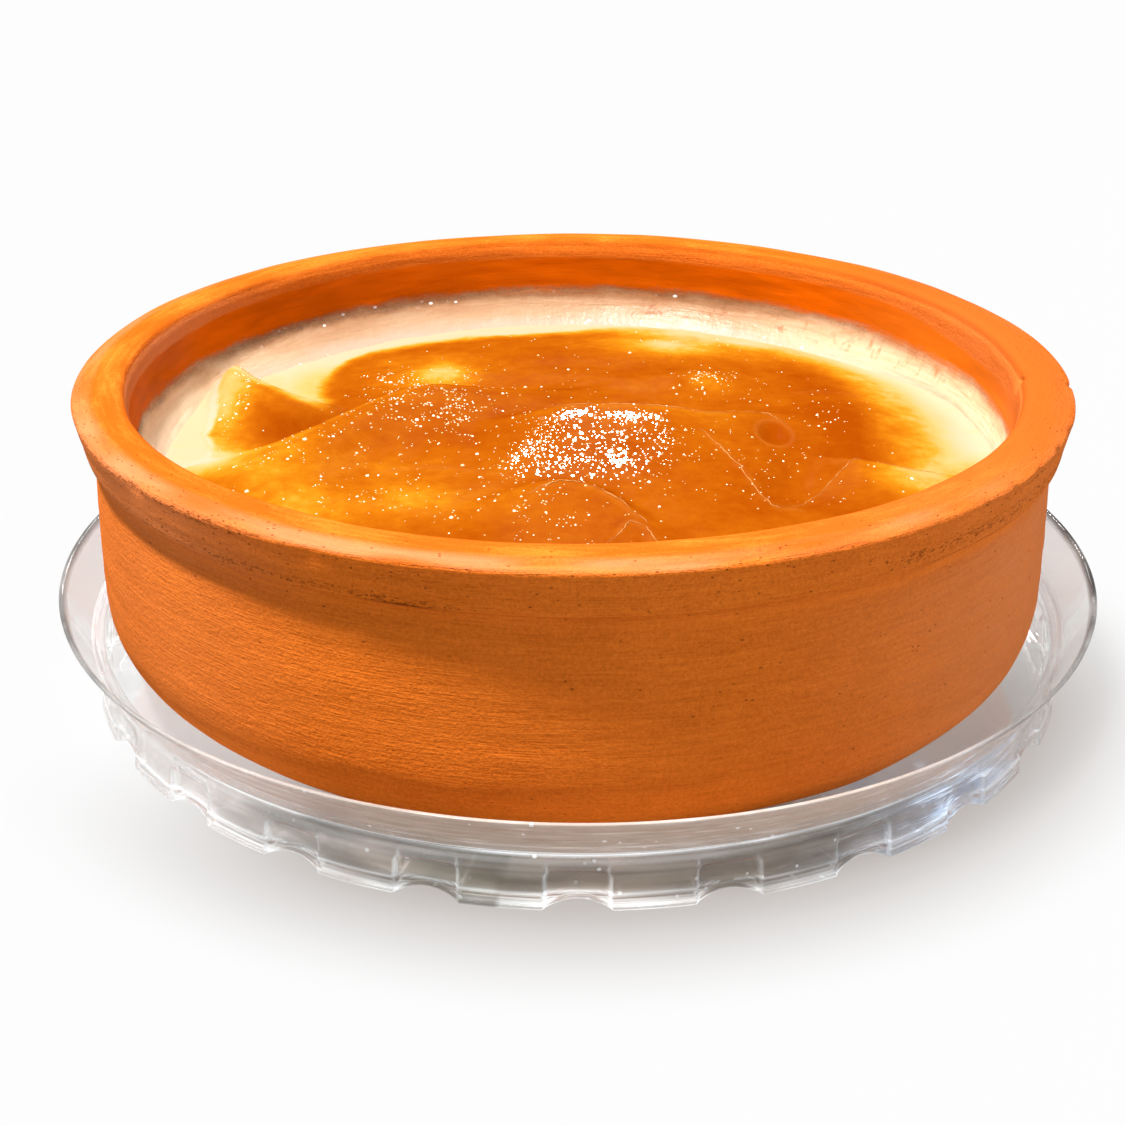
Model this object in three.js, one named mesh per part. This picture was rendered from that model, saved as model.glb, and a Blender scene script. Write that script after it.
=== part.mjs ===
// Oven-baked rice pudding in a terracotta bowl that stands in a clear plastic saucer.
// Millimetres, +Z up. The origin is the middle of the saucer's footprint, on the table.
import * as THREE from "three";

// Space left between two pieces that touch.
const GAP = 0.3;

// The terracotta bowl, about its own axis, which stands a little left of the saucer's.
const BOWL_SHIFT_X = -0.7;
const BOWL_SEGMENTS = 72;
const BASE_R = 46.2;
const BASE_Z = 1.5;
const BELLY_R = 58.25;
const BELLY_Z = 15.8;
const BELLY_FULLNESS = 3.2;
const BELLY_STEPS = 8;
const BELLY_STEP_GROWTH = 1.6;
const WALL_SWELL = 0.14;
const NECK_R = 57.7;
const NECK_Z = 31.9;
const BAND_LOW_R = 58.9;
const BAND_LOW_Z = 32.5;
const RIM_R = 60;
const RIM_Z = 37.8;
const RIM_ROUND = 0.5;
const SHOULDER_Z = 38.3;
const CROWN_R = 55.2;
const CROWN_Z = 38.5;
const CROWN_WIDTH = 1;
const CROWN_FALL = 0.35;
const LIP_R = 53.7;
const LIP_Z = 36.9;
const WALL_TAPER = 0.09;
const FLOOR_Z = 6.5;
const CORNER_R = 10;
const CORNER_STEPS = 5;

// The pudding: its cream margin meets the wall at MARGIN_Z, and its skin is puffed up inside that.
const PUDDING_SEGMENTS = 120;
const PUDDING_RINGS = 20;
const MARGIN_Z = 26.8;
const CALM_BAND = 5;
const PUFF = { x: 1, y: -1, reach: 50, height: 2.4 };

// Swells of the skin: middle, half-lengths along and across, turn in degrees, height.
const SWELLS = [
  { x: -34, y: 3.5, along: 9, across: 3.5, turn: 33, height: -1.7 }, // the hollow behind the mound
  { x: -16, y: 17, along: 11, across: 3.5, turn: 0, height: -0.6 },
  { x: -19.5, y: 20, along: 9, across: 4, turn: 0, height: 1.1 }, // a pale blister at back left
  { x: 15, y: 19, along: 7, across: 4, turn: 0, height: 0.9 }, // a pale blister at back right
  { x: 5, y: 31, along: 24, across: 7, turn: 0, height: 0.7 }, // the back edge of the skin
  { x: 35, y: 6, along: 8, across: 11, turn: 0, height: 0.9 }, // the right edge of the skin
  { x: 27, y: -14, along: 4, across: 8, turn: -30, height: -1.2 }, // the hollow before the lobe
  { x: -18, y: -23, along: 9, across: 6, turn: 0, height: 0.7 },
  { x: -33, y: -22, along: 10, across: 8, turn: -40, height: 0.5 },
  { x: 24.9, y: -0.9, along: 2.2, across: 3.5, turn: 0, height: -0.9 }, // a burst bubble
];

// Ridges that run from left to right: the crest's places in y and its heights are spread evenly
// from fromX to toX, and it falls off over "back" behind the crest and "front" before it.
const RIDGES = [
  {
    // the long mound at front left
    fromX: -49,
    toX: 5,
    places: [-10, -8.5, -7.5, -3, 5, 10, 10.8, 11.5, 13, 14],
    heights: [0, 1, 1.9, 2.6, 2.9, 2.6, 1.9, 1.1, 0.5, 0],
    back: 1.9,
    front: 13,
  },
  {
    // the fold across the middle
    fromX: -12,
    toX: 32,
    places: [-1, 1, 2.6, 3, 3, 2.4, 3.8, 5, 4],
    heights: [0, 0.9, 1.9, 2.1, 2.1, 1.7, 1.1, 0.5, 0],
    back: 1.7,
    front: 13,
  },
  {
    // the lobe at the right
    fromX: 26,
    toX: 52,
    places: [-7, -8.5, -11.5, -12.5, -12.5, -12],
    heights: [0, 1, 1.5, 1.3, 0.8, 0],
    back: 1.3,
    front: 11,
  },
  {
    // the fold at the front
    fromX: -14,
    toX: 12,
    places: [-27, -23, -20, -19.2, -21, -26, -31],
    heights: [0, 0.4, 0.9, 1.1, 0.8, 0.4, 0],
    back: 1.5,
    front: 8,
  },
];

// The peak where the skin is drawn up at the wall.
const PEAK = {
  fromX: -51,
  toX: -28,
  places: [24, 20, 15.5, 12, 9.5, 7.5],
  heights: [0, 4.1, 2.9, 1.8, 0.9, 0],
  back: 2,
  front: 9,
};

// The saucer: a thin shell with a flared skirt, a step, and feet between notches.
const PLASTIC = 0.7;
const SAUCER_R = 64.7;
const SAUCER_Z = 12.8;
const EDGE_WIDTH = 1.1;
const EDGE_DEPTH = 0.6;
const EDGE_LEAN = 0.15;
const STEP_R = 61.3;
const STEP_Z = 7.2;
const STEP_IN = 0.9;
const STEP_DROP = 0.7;
const NOTCH_TOP_R = 60.6;
const NOTCH_TOP_Z = 4.7;
const NOTCH_ROUND = 0.8;
const NOTCH_ROUND_LEAN = 0;
const FOOT_R = 61;
const FOOT_WIDTH = 1.2;
const FOOT_LEAN = -0.13;
const TRAY_Z = 0.5;
const INNER_LIFT = 0.4;
const NOTCHES = 24;
const NOTCH_DEPTH = 1.0;
const NOTCH_HALF_DEG = 3.0;
const NOTCH_SIDE_DEG = 0.6;
const NOTCH_CORNER_SHARE = 0.75;
const ARCH_Z = 0.9;
const FIRST_NOTCH_DEG = -90;

const terracotta = new THREE.MeshStandardMaterial({ color: 0xd9763a, roughness: 0.85, metalness: 0 });
const bakedSkin = new THREE.MeshStandardMaterial({ color: 0xe08a1e, roughness: 0.25, metalness: 0 });
const clearPlastic = new THREE.MeshStandardMaterial({
  color: 0xf2f4f6,
  roughness: 0.05,
  metalness: 0,
  transparent: true,
  opacity: 0.3,
});

// ---- shapes shared by the pieces

// The inside radius of the bowl at a height: a tapered wall, and a round corner below it.
const cornerTop = FLOOR_Z + CORNER_R;
const wallRadius = (z) => LIP_R - WALL_TAPER * (LIP_Z - z);
const cornerMiddleR = wallRadius(cornerTop) - CORNER_R;
function insideRadius(z) {
  if (z >= cornerTop) return wallRadius(z);
  return cornerMiddleR + Math.sqrt(CORNER_R ** 2 - (cornerTop - z) ** 2);
}

// Heights up the round corner of the bowl's inside, evenly spread along its arc.
function cornerHeights() {
  const heights = [];
  for (let i = 0; i <= CORNER_STEPS; i++) {
    heights.push(cornerTop - CORNER_R * Math.cos((i / CORNER_STEPS) * (Math.PI / 2)));
  }
  return heights;
}

// One closed skin: a pole under it, rings with equal numbers of points, and a pole above it.
function skinFromRings(lowPole, rings, highPole) {
  const count = rings[0].length;
  const points = [lowPole, ...rings.flat(), highPole];
  const at = (ring, i) => 1 + ring * count + (i % count);
  const high = points.length - 1;
  const faces = [];
  for (let i = 0; i < count; i++) {
    faces.push(0, at(0, i + 1), at(0, i));
    for (let ring = 0; ring + 1 < rings.length; ring++) {
      faces.push(at(ring, i), at(ring, i + 1), at(ring + 1, i + 1));
      faces.push(at(ring, i), at(ring + 1, i + 1), at(ring + 1, i));
    }
    faces.push(high, at(rings.length - 1, i), at(rings.length - 1, i + 1));
  }
  const geometry = new THREE.BufferGeometry().setFromPoints(points);
  geometry.setIndex(faces);
  geometry.computeVertexNormals();
  return geometry;
}

function namedMesh(name, geometry, material) {
  const mesh = new THREE.Mesh(geometry, material);
  mesh.name = name;
  return mesh;
}

// ---- the bowl

// The belly swells fast out of the base and slowly towards its widest point, in growing steps.
function bellyPoint(i) {
  const t = (i / BELLY_STEPS) ** BELLY_STEP_GROWTH;
  const swell = 1 - (1 - t) ** BELLY_FULLNESS;
  return [BASE_R + (BELLY_R - BASE_R) * swell, BASE_Z + (BELLY_Z - BASE_Z) * t];
}

function bowl() {
  const outline = [[0, BASE_Z]];
  for (let i = 0; i <= BELLY_STEPS; i++) outline.push(bellyPoint(i));
  outline.push([(BELLY_R + NECK_R) / 2 + WALL_SWELL, (BELLY_Z + NECK_Z) / 2]);
  outline.push([NECK_R, NECK_Z], [BAND_LOW_R, BAND_LOW_Z]);
  outline.push([RIM_R, RIM_Z - RIM_ROUND], [RIM_R - RIM_ROUND, RIM_Z]);
  outline.push([(RIM_R + CROWN_R) / 2, SHOULDER_Z], [CROWN_R, CROWN_Z]);
  outline.push([CROWN_R - CROWN_WIDTH, CROWN_Z - CROWN_FALL], [LIP_R, LIP_Z]);
  outline.push([wallRadius(MARGIN_Z), MARGIN_Z]);
  for (const z of cornerHeights().reverse()) outline.push([insideRadius(z), z]);
  outline.push([0, FLOOR_Z]);
  const profile = outline.map(([r, z]) => new THREE.Vector2(r, z));
  const geometry = new THREE.LatheGeometry(profile, BOWL_SEGMENTS);
  geometry.rotateX(Math.PI / 2);
  return namedMesh("bowl", geometry, terracotta);
}

// ---- the pudding

// A smooth oval bump of height 1 whose edge, one half-length out, has fallen to about a third.
function swellAt(x, y, { x: cx, y: cy, along, across, turn }) {
  const angle = THREE.MathUtils.degToRad(turn);
  const u = ((x - cx) * Math.cos(angle) + (y - cy) * Math.sin(angle)) / along;
  const v = ((y - cy) * Math.cos(angle) - (x - cx) * Math.sin(angle)) / across;
  return Math.exp(-(u * u + v * v));
}

// A smooth curve through evenly spread values, read at a share from 0 to 1 of its length.
function smoothThrough(values, share) {
  const last = values.length - 1;
  const i = Math.min(Math.floor(share * last), last - 1);
  const [a, b, c, d] = [-1, 0, 1, 2].map((k) => values[THREE.MathUtils.clamp(i + k, 0, last)]);
  const t = share * last - i;
  return b + 0.5 * t * (c - a + t * (2 * a - 5 * b + 4 * c - d + t * (3 * b - a - 3 * c + d)));
}

function ridgeAt(x, y, { fromX, toX, places, heights, back, front }) {
  const share = (x - fromX) / (toX - fromX);
  if (share <= 0 || share >= 1) return 0;
  const before = smoothThrough(places, share) - y;
  return smoothThrough(heights, share) * Math.exp(-((before / (before < 0 ? back : front)) ** 2));
}

// The height of the pudding's top. It is calm at the wall, where it meets the clay.
function puddingTop(x, y) {
  const away = ((x - PUFF.x) ** 2 + (y - PUFF.y) ** 2) / PUFF.reach ** 2;
  let rise = PUFF.height * Math.max(0, 1 - away);
  for (const ridge of RIDGES) rise += ridgeAt(x, y, ridge);
  for (const swell of SWELLS) rise += swell.height * swellAt(x, y, swell);
  const edge = wallRadius(MARGIN_Z);
  const calm = 1 - THREE.MathUtils.smoothstep(Math.hypot(x, y), edge - CALM_BAND, edge);
  return MARGIN_Z + rise * calm + ridgeAt(x, y, PEAK) * Math.sqrt(calm);
}

function pudding() {
  const rings = [];
  const ringAt = (radius, height) => {
    const ring = [];
    for (let i = 0; i < PUDDING_SEGMENTS; i++) {
      const angle = (2 * Math.PI * i) / PUDDING_SEGMENTS;
      const x = radius * Math.cos(angle);
      const y = radius * Math.sin(angle);
      ring.push(new THREE.Vector3(x, y, height ?? puddingTop(x, y)));
    }
    return ring;
  };
  for (const z of cornerHeights()) rings.push(ringAt(insideRadius(z) - GAP, z + GAP));
  const edge = wallRadius(MARGIN_Z) - GAP;
  for (let i = PUDDING_RINGS; i >= 1; i--) rings.push(ringAt((edge * i) / PUDDING_RINGS));
  const under = new THREE.Vector3(0, 0, FLOOR_Z + GAP);
  const over = new THREE.Vector3(0, 0, puddingTop(0, 0));
  return namedMesh("pudding", skinFromRings(under, rings, over), bakedSkin);
}

// ---- the saucer

// Angles round the saucer: five for each notch, at its middle and at both ends of its sides,
// each with the share of the notch's depth there.
function saucerAngles() {
  const angles = [];
  const sideDeg = NOTCH_HALF_DEG + NOTCH_SIDE_DEG;
  for (let notch = 0; notch < NOTCHES; notch++) {
    const middleDeg = FIRST_NOTCH_DEG + (360 * notch) / NOTCHES;
    const place = (offsetDeg, depth) => {
      angles.push({ angle: THREE.MathUtils.degToRad(middleDeg + offsetDeg), depth });
    };
    place(-sideDeg, 0);
    place(-NOTCH_HALF_DEG, NOTCH_CORNER_SHARE);
    place(0, 1);
    place(NOTCH_HALF_DEG, NOTCH_CORNER_SHARE);
    place(sideDeg, 0);
  }
  return angles;
}

// The section of the shell from the middle of its underside, over the edge, to the tray inside.
// Each point has its radius and height, the share of the notch's depth it is pushed in by,
// and the height it is lifted to in a notch. The inside corners lie INNER_LIFT above the outside.
function saucerSection() {
  const skirt = PLASTIC / Math.cos(Math.atan2(SAUCER_R - STEP_R, SAUCER_Z - STEP_Z));
  const stepInR = STEP_R - STEP_IN;
  const stepInZ = STEP_Z - STEP_DROP;
  const roundR = NOTCH_TOP_R - NOTCH_ROUND_LEAN;
  const roundZ = NOTCH_TOP_Z - NOTCH_ROUND;
  return [
    { r: FOOT_R - FOOT_WIDTH, z: TRAY_Z, push: 1 },
    { r: FOOT_R - FOOT_WIDTH, z: 0, push: 1, lift: ARCH_Z },
    { r: FOOT_R, z: 0, push: 1, lift: ARCH_Z },
    { r: roundR, z: roundZ, push: NOTCH_CORNER_SHARE },
    { r: NOTCH_TOP_R, z: NOTCH_TOP_Z, push: 0 },
    { r: stepInR, z: stepInZ, push: 0 },
    { r: STEP_R, z: STEP_Z, push: 0 },
    { r: SAUCER_R - EDGE_LEAN, z: SAUCER_Z - EDGE_DEPTH, push: 0 },
    { r: SAUCER_R, z: SAUCER_Z, push: 0 },
    { r: SAUCER_R - EDGE_WIDTH, z: SAUCER_Z, push: 0 },
    { r: STEP_R - skirt, z: STEP_Z + INNER_LIFT, push: 0 },
    { r: stepInR - PLASTIC, z: stepInZ + INNER_LIFT, push: 0 },
    { r: NOTCH_TOP_R - PLASTIC, z: NOTCH_TOP_Z + INNER_LIFT, push: 0 },
    { r: roundR - PLASTIC, z: roundZ + INNER_LIFT, push: NOTCH_CORNER_SHARE },
    { r: FOOT_R + FOOT_LEAN - PLASTIC, z: TRAY_Z + PLASTIC, push: 1 },
  ];
}

function saucer() {
  const angles = saucerAngles();
  const rings = saucerSection().map(({ r, z, push, lift = z }) =>
    angles.map(({ angle, depth }) => {
      const radius = r - NOTCH_DEPTH * push * depth;
      const height = THREE.MathUtils.lerp(z, lift, depth);
      return new THREE.Vector3(radius * Math.cos(angle), radius * Math.sin(angle), height);
    }),
  );
  const under = new THREE.Vector3(0, 0, TRAY_Z);
  const over = new THREE.Vector3(0, 0, TRAY_Z + PLASTIC);
  return namedMesh("saucer", skinFromRings(under, rings, over), clearPlastic);
}

// ---- the whole

const dish = new THREE.Group();
dish.position.set(BOWL_SHIFT_X, 0, 0);
dish.add(bowl(), pudding());

const root = new THREE.Group();
root.add(dish, saucer());

export default root;
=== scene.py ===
"""A baked rice pudding in a terracotta bowl that stands in a clear plastic saucer.

The shapes are worked out in millimetres about the bowl's own axis: x to the right, y away from the
viewer, z up from the table. They are scaled to metres and moved to the axis as they become meshes.
"""

import math

import bpy
import numpy as np
from bpy.props import FloatProperty, FloatVectorProperty, IntProperty, PointerProperty
from mathutils import Matrix, Vector


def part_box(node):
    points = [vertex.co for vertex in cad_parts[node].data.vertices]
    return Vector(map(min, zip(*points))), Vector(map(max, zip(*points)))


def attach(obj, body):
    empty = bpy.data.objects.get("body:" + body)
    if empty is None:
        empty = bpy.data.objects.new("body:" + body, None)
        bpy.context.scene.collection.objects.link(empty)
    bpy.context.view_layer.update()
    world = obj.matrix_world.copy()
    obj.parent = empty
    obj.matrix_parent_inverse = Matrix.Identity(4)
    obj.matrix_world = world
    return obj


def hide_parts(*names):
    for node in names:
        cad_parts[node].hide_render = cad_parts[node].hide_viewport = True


bl_info = {
    "name": "Baked pudding in a clay bowl",
    "version": (1, 0, 0),
    "blender": (4, 5, 0),
    "location": "View3D > Sidebar > Pudding",
    "description": "Adds a baked rice pudding, its terracotta bowl and its clear saucer",
    "category": "Add Mesh",
}

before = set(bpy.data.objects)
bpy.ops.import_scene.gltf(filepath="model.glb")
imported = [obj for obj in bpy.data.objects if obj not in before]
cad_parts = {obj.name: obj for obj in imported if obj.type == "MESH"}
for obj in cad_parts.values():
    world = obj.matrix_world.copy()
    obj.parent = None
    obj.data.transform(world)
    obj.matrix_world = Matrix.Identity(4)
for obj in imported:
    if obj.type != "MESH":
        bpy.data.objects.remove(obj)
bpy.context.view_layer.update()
MM = 0.001


def corners_mm(node):
    """The lowest and highest corner of a solid of the frame, in millimetres."""
    low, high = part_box(node)
    return np.array(low) / MM, np.array(high) / MM


BOWL_LOW, BOWL_HIGH = corners_mm("bowl")
PUDDING_LOW = corners_mm("pudding")[0]
SAUCER_LOW, SAUCER_HIGH = corners_mm("saucer")

# ---- sizes in millimetres

GAP = 0.3
AXIS_X = (BOWL_LOW[0] + BOWL_HIGH[0]) / 2
BASE_R = 46.2
BASE_Z = BOWL_LOW[2]
BELLY_R = 58.25
BELLY_Z = 15.8
BELLY_FULLNESS = 3.2
WALL_SWELL = 0.14
NECK_R = 57.7
NECK_Z = 31.9
BAND_LOW_R = 58.9
BAND_LOW_Z = 32.5
RIM_R = (BOWL_HIGH[1] - BOWL_LOW[1]) / 2
RIM_Z = 37.8
RIM_ROUND = 0.3
CORNER_BLUR = 0.16
OUTLINE_STEP = 0.05
SECTION_STEP = 0.02
SHOULDER_Z = 38.3
CROWN_R = 55.2
CROWN_Z = BOWL_HIGH[2]
CROWN_WIDTH = 1.0
CROWN_FALL = 0.35
LIP_R = 53.7
LIP_Z = 36.9
WALL_TAPER = 0.09
FLOOR_Z = PUDDING_LOW[2] - GAP
CORNER_R = 10.0
GLAZE_TOP_Z = 35.7
GLAZE_DIP, GLAZE_DIP_DEG = 1.2, 4.0

MARGIN_Z = 26.8
CALM_BAND = 5.0
PUFF_X, PUFF_Y, PUFF_REACH, PUFF_HEIGHT = 1.0, -1.0, 50.0, 2.4

# Swells of the skin: middle x, y, half-lengths along and across, turn in degrees, height.
SWELLS = (
    (-34, 3.5, 9, 3.5, 33, -1.7),
    (-16, 17, 11, 3.5, 0, -0.6),
    (-19.5, 20, 9, 4, 0, 1.1),
    (15, 19, 7, 4, 0, 0.9),
    (5, 31, 24, 7, 0, 0.7),
    (35, 6, 8, 11, 0, 0.9),
    (27, -14, 4, 8, -30, -1.2),
    (-18, -23, 9, 6, 0, 0.7),
    (-33, -22, 10, 8, -40, 0.5),
    (24.9, -0.9, 2.2, 3.5, 0, -0.9),
)

# Ridges from left to right: from x, to x, the crest's places in y, its heights, and how far it
# falls off behind the crest and before it.
MOUND = (-49, 5, (-10, -8.5, -7.5, -3, 5, 10, 10.8, 11.5, 13, 14),
         (0, 1, 1.9, 2.6, 2.9, 2.6, 1.9, 1.1, 0.5, 0), 1.9, 13)
MIDDLE_FOLD = (-12, 32, (-1, 1, 2.6, 3, 3, 2.4, 3.8, 5, 4),
               (0, 0.9, 1.9, 2.1, 2.1, 1.7, 1.1, 0.5, 0), 1.7, 13)
RIGHT_LOBE = (26, 52, (-7, -8.5, -11.5, -12.5, -12.5, -12), (0, 1, 1.5, 1.3, 0.8, 0), 1.3, 11)
FRONT_FOLD = (-14, 12, (-27, -23, -20, -19.2, -21, -26, -31), (0, 0.4, 0.9, 1.1, 0.8, 0.4, 0), 1.5, 8)
RIDGES = (MOUND, MIDDLE_FOLD, RIGHT_LOBE, FRONT_FOLD)
PEAK = (-51, -28, (24, 20, 15.5, 12, 9.5, 7.5), (0, 4.1, 2.9, 1.8, 0.9, 0), 2, 9)

# The outline of the browned skin, round from the right; the front margin browns to the wall.
SKIN_EDGE = (
    (43, -9), (42, 0), (41.6, 8), (40.7, 15), (39.4, 20.5), (37.3, 26), (34.9, 31.6), (31.7, 36.4),
    (26.2, 40.8), (18, 44.3), (10.7, 46.5), (3, 45.3), (-6.3, 42.8), (-15.9, 41.2), (-22.8, 38),
    (-29.5, 33.8), (-32.8, 27), (-33.5, 18.6), (-32.6, 12), (-34, 9.8), (-38, 12.3), (-41.8, 16.2),
    (-45.3, 22.3), (-47.2, 21), (-47.6, 15), (-46.6, 5), (-45, -4), (-47.5, -8), (-50, -14),
    (-46, -30), (-24, -52), (10, -56), (38, -42), (52, -20), (50, -10.5), (46, -9.5),
)

HALO = 0.17
# Strengths of the painted shade behind the folds' crests and of the painted light along them.
HOLLOW_SHADE, CREST_LIGHT = 0.12, 0.10
# Paler and darker places of the skin: middle x, y, half-lengths, turn in degrees, browning.
BROWNING = (
    (-17.8, 22, 4.4, 7.5, 0, -0.64),
    (-24, 17, 4.5, 5, 0, -0.16),
    (13, 36.5, 8, 8, 0, -0.66),
    (25, 37, 8, 5, -35, -0.35),
    (0, 39, 9, 3.5, 5, -0.12),
    (18, 19, 3.5, 5, 0, -0.3),
    (-28, 30, 6, 6, 0, -0.16),
    (-18, -22, 8, 6, 0, -0.38),
    (-31, -24, 8, 6, -40, -0.36),
    (-38, -13, 7, 7, 25, -0.3),
    (-44.5, -7, 5.5, 5, 0, -0.75),
    (-38, 14, 7, 8, 0, -0.12),
    (-24, -12, 13, 8, 0, -0.12),
    # Painted light: the paler left side of the peak.
    (-45.3, 11, 3.6, 16, 6, -0.62),
    (-40, 16.5, 9, 1.8, -38, -0.34),
    (35, -1, 7, 9, 0, 0.16),
    # Painted shade: the darker right slope of the peak.
    (-36, 3, 5, 7, 30, 0.16),
    (-20, 1, 9, 7, 0, 0.06),
    (33, 10, 5, 11, 10, 0.1),
    (39, 2, 3, 12, 0, -0.16),
    (25, -1, 2, 3.6, 0, 0.26),
    (4, 24, 9, 6, 0, 0.08),
    (-17, 9.5, 11, 3.5, 0, 0.16),
    (2, 2, 9, 3, 5, 0.06),
    (5, -13, 10, 8, 0, 0.05),
    (42, -15, 8, 6, 0, -0.5),
    (28, -18, 7, 9, -30, 0.08),
)

# Thin wrinkles and drawn-up edges of the skin: height, half-width, then the places they run through.
WRINKLES = (
    (0.26, 0.3, ((-3, 2.4), (3, 3.2), (10, 3), (17, 2.6), (21, 4.6), (24.5, 4.9), (27, 2.2))),
    (0.22, 0.28, ((15.6, -2.8), (18.7, -8.7), (20.9, -15.2), (23.2, -21.2), (26.5, -22.5))),
    (0.36, 0.28, ((-5.5, -22.4), (-1.8, -19.4), (0.5, -19.4), (2.9, -20.6), (6.2, -24.8), (8.5, -28))),
    (0.28, 0.28, ((3.5, -33.6), (6.1, -28.4), (7.6, -28.7), (9.4, -32.8))),
    (0.13, 0.3, ((23.2, -21.2), (26.5, -20.5), (31.2, -13.4), (34.3, -10.1), (38.4, -12.2), (44, -12.6))),
    (0.16, 0.6, ((0, 17), (1.2, 17.6), (4, 19.2), (6, 18.7), (8, 15.7), (10.6, 14.8), (13.4, 16.8))),
    (0.16, 0.5, ((29, 15), (33, 16.3), (36.8, 16), (38.5, 14.5))),
    (0.2, 0.4, ((-24, -14), (-18, -12.5), (-12, -13.5), (-6, -17))),
    (0.18, 0.35, ((-33, -24), (-27, -22), (-21, -24), (-15, -27))),
)
CREASE_R = 0.065
CREASE_RISE = 0.28
SHARPEST = 0.31
# The outline of the wettest patch, round from its front left.
WET_EDGE = (
    (-8.5, -14), (-7.5, -6), (-3, 0), (3, 2.4), (8, 1.6), (11.5, 0), (12.2, -4), (11.2, -12),
    (10, -18.5), (7, -16.5), (1.2, -15.8), (-4.5, -15.5),
)
# Where the beads crowd: middle x, y, half-lengths, turn in degrees, share that is kept.
BEADED = (
    (-5.4, -8, 7.5, 1.5, 64, 1.0),
    (-0.5, -0.4, 4.4, 1.5, 14, 1.2),
    (8, -0.4, 5.4, 1.3, -8, 1.2),
    (5.8, -11, 2.6, 3.4, -25, 1.0),
    (-3, -15.2, 5, 1.1, -4, 0.8),
    (-2, -10.5, 3.5, 3.5, 0, 0.5),
    (3, -5.5, 6, 3, 0, 0.3),
    (11, -7, 2.5, 6, 0, 0.25),
)
RING_X, RING_Y, RING_ALONG, RING_ACROSS = 25.0, -0.9, 2.3, 3.9
RING_HEIGHT, RING_WIDTH = 0.16, 0.12

# Clusters of small bubbles: middle, spread in x and y, how many. More are drawn, as some are dropped.
BUBBLE_SURPLUS = 1.5
BUBBLE_CLUSTERS = (
    ((-20, 5), (5.5, 5.5), 330),
    ((-14, 7), (4, 4), 130),
    ((-12, -4), (4, 6), 45),
    ((-30, -6), (6, 5), 120),
    ((-38, -12), (4, 4), 20),
    ((1, -8), (6.5, 6.5), 260),
    ((12, -10), (5, 7), 110),
    ((20, -12), (6, 7), 70),
    ((-24.5, 18), (2.6, 3.5), 120),
    ((-17, 20), (3, 4), 60),
    ((17.5, 18.5), (2.4, 3.4), 90),
    ((-43.5, 12), (1.2, 5), 90),
    ((-4, 24), (12, 8), 60),
    ((-8, 16), (6, 5), 30),
    ((30, 13), (5, 8), 60),
    ((28, 0), (5, 9), 25),
    ((-20, -20), (11, 6), 190),
    ((-3, -27), (6, 4), 90),
    ((14, 36), (6, 4), 25),
    ((42, -15), (4, 3), 14),
    ((32, -18), (6, 5), 25),
)

# The clear saucer, about the middle of the whole.
SAUCER_R = (SAUCER_HIGH[0] - SAUCER_LOW[0]) / 2
SAUCER_Z = SAUCER_HIGH[2]
PLASTIC = 0.7
EDGE_WIDTH = 0.5
EDGE_DEPTH = 0.35
EDGE_LEAN = 0.1
STEP_R = 61.3
STEP_Z = 7.2
STEP_IN = 0.9
STEP_DROP = 0.7
NOTCH_TOP_R = 60.6
NOTCH_TOP_Z = 4.7
NOTCH_ROUND = 0.8
NOTCH_ROUND_LEAN = 0.0
FOOT_R = 61.0
FOOT_WIDTH = 1.2
FOOT_LEAN = -0.13
TRAY_Z = 0.5
INNER_LIFT = 0.4
NOTCHES = 24
NOTCH_DEPTH = 0.85
NOTCH_HALF_DEG = 3.1
NOTCH_SIDE_DEG = 0.4
NOTCH_CORNER = 1.3
NOTCH_CORNER_DEG = 0.8
ARCH_Z = 1.0
# Painted highlight lines round the saucer: height, strength.
HIGHLIGHT_LINES = ((STEP_Z, 1.0), (STEP_Z - STEP_DROP, 0.5), (STEP_Z - 1.6, 0.35), (1.9, 0.6))
HIGHLIGHT_LINE_WIDTH = 0.16
# Where the painted blue reflection sits on the foot: middle and width in degrees.
BLUE_REFLECTION_DEG, BLUE_REFLECTION_WIDTH_DEG = -47, 12
# Where the painted grey-green shade sits on the foot: middle and width in degrees.
GREY_GREEN_SHADE_DEG, GREY_GREEN_SHADE_WIDTH_DEG = -101, 7


def wall_radius(z):
    """The bowl's inside radius at a height: the lip's radius less a taper times the depth."""
    return LIP_R - WALL_TAPER * (LIP_Z - z)


# ---- settings

class BowlLook(bpy.types.PropertyGroup):
    """Mesh fineness and colours of the terracotta bowl."""

    around: IntProperty(name="Segments", description="Steps round the bowl", default=640, min=48)
    step: FloatProperty(name="Step", description="Step along the outline where it shows",
                        default=0.6 * MM, unit="LENGTH")
    clay: FloatVectorProperty(name="Clay", description="Colour of the fired clay",
                              subtype="COLOR", default=(0.59, 0.117, 0.0085))
    # Colour of the pale dust on the clay and of the sheen painted with it.
    bloom: FloatVectorProperty(name="Dust and sheen", description="Colour of the pale dust on the clay",
                               subtype="COLOR", default=(0.56, 0.2, 0.085))
    glaze: FloatVectorProperty(name="Glaze", description="Colour of the glaze inside the rim",
                               subtype="COLOR", default=(0.64, 0.108, 0.0006))
    # Painted light: the glaze's lighter colour on the inside right wall, where the key light falls.
    lit_glaze_colour: FloatVectorProperty(name="Lit glaze", description="Colour where the glaze ran thin",
                                    subtype="COLOR", default=(0.67, 0.165, 0.012))


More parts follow.
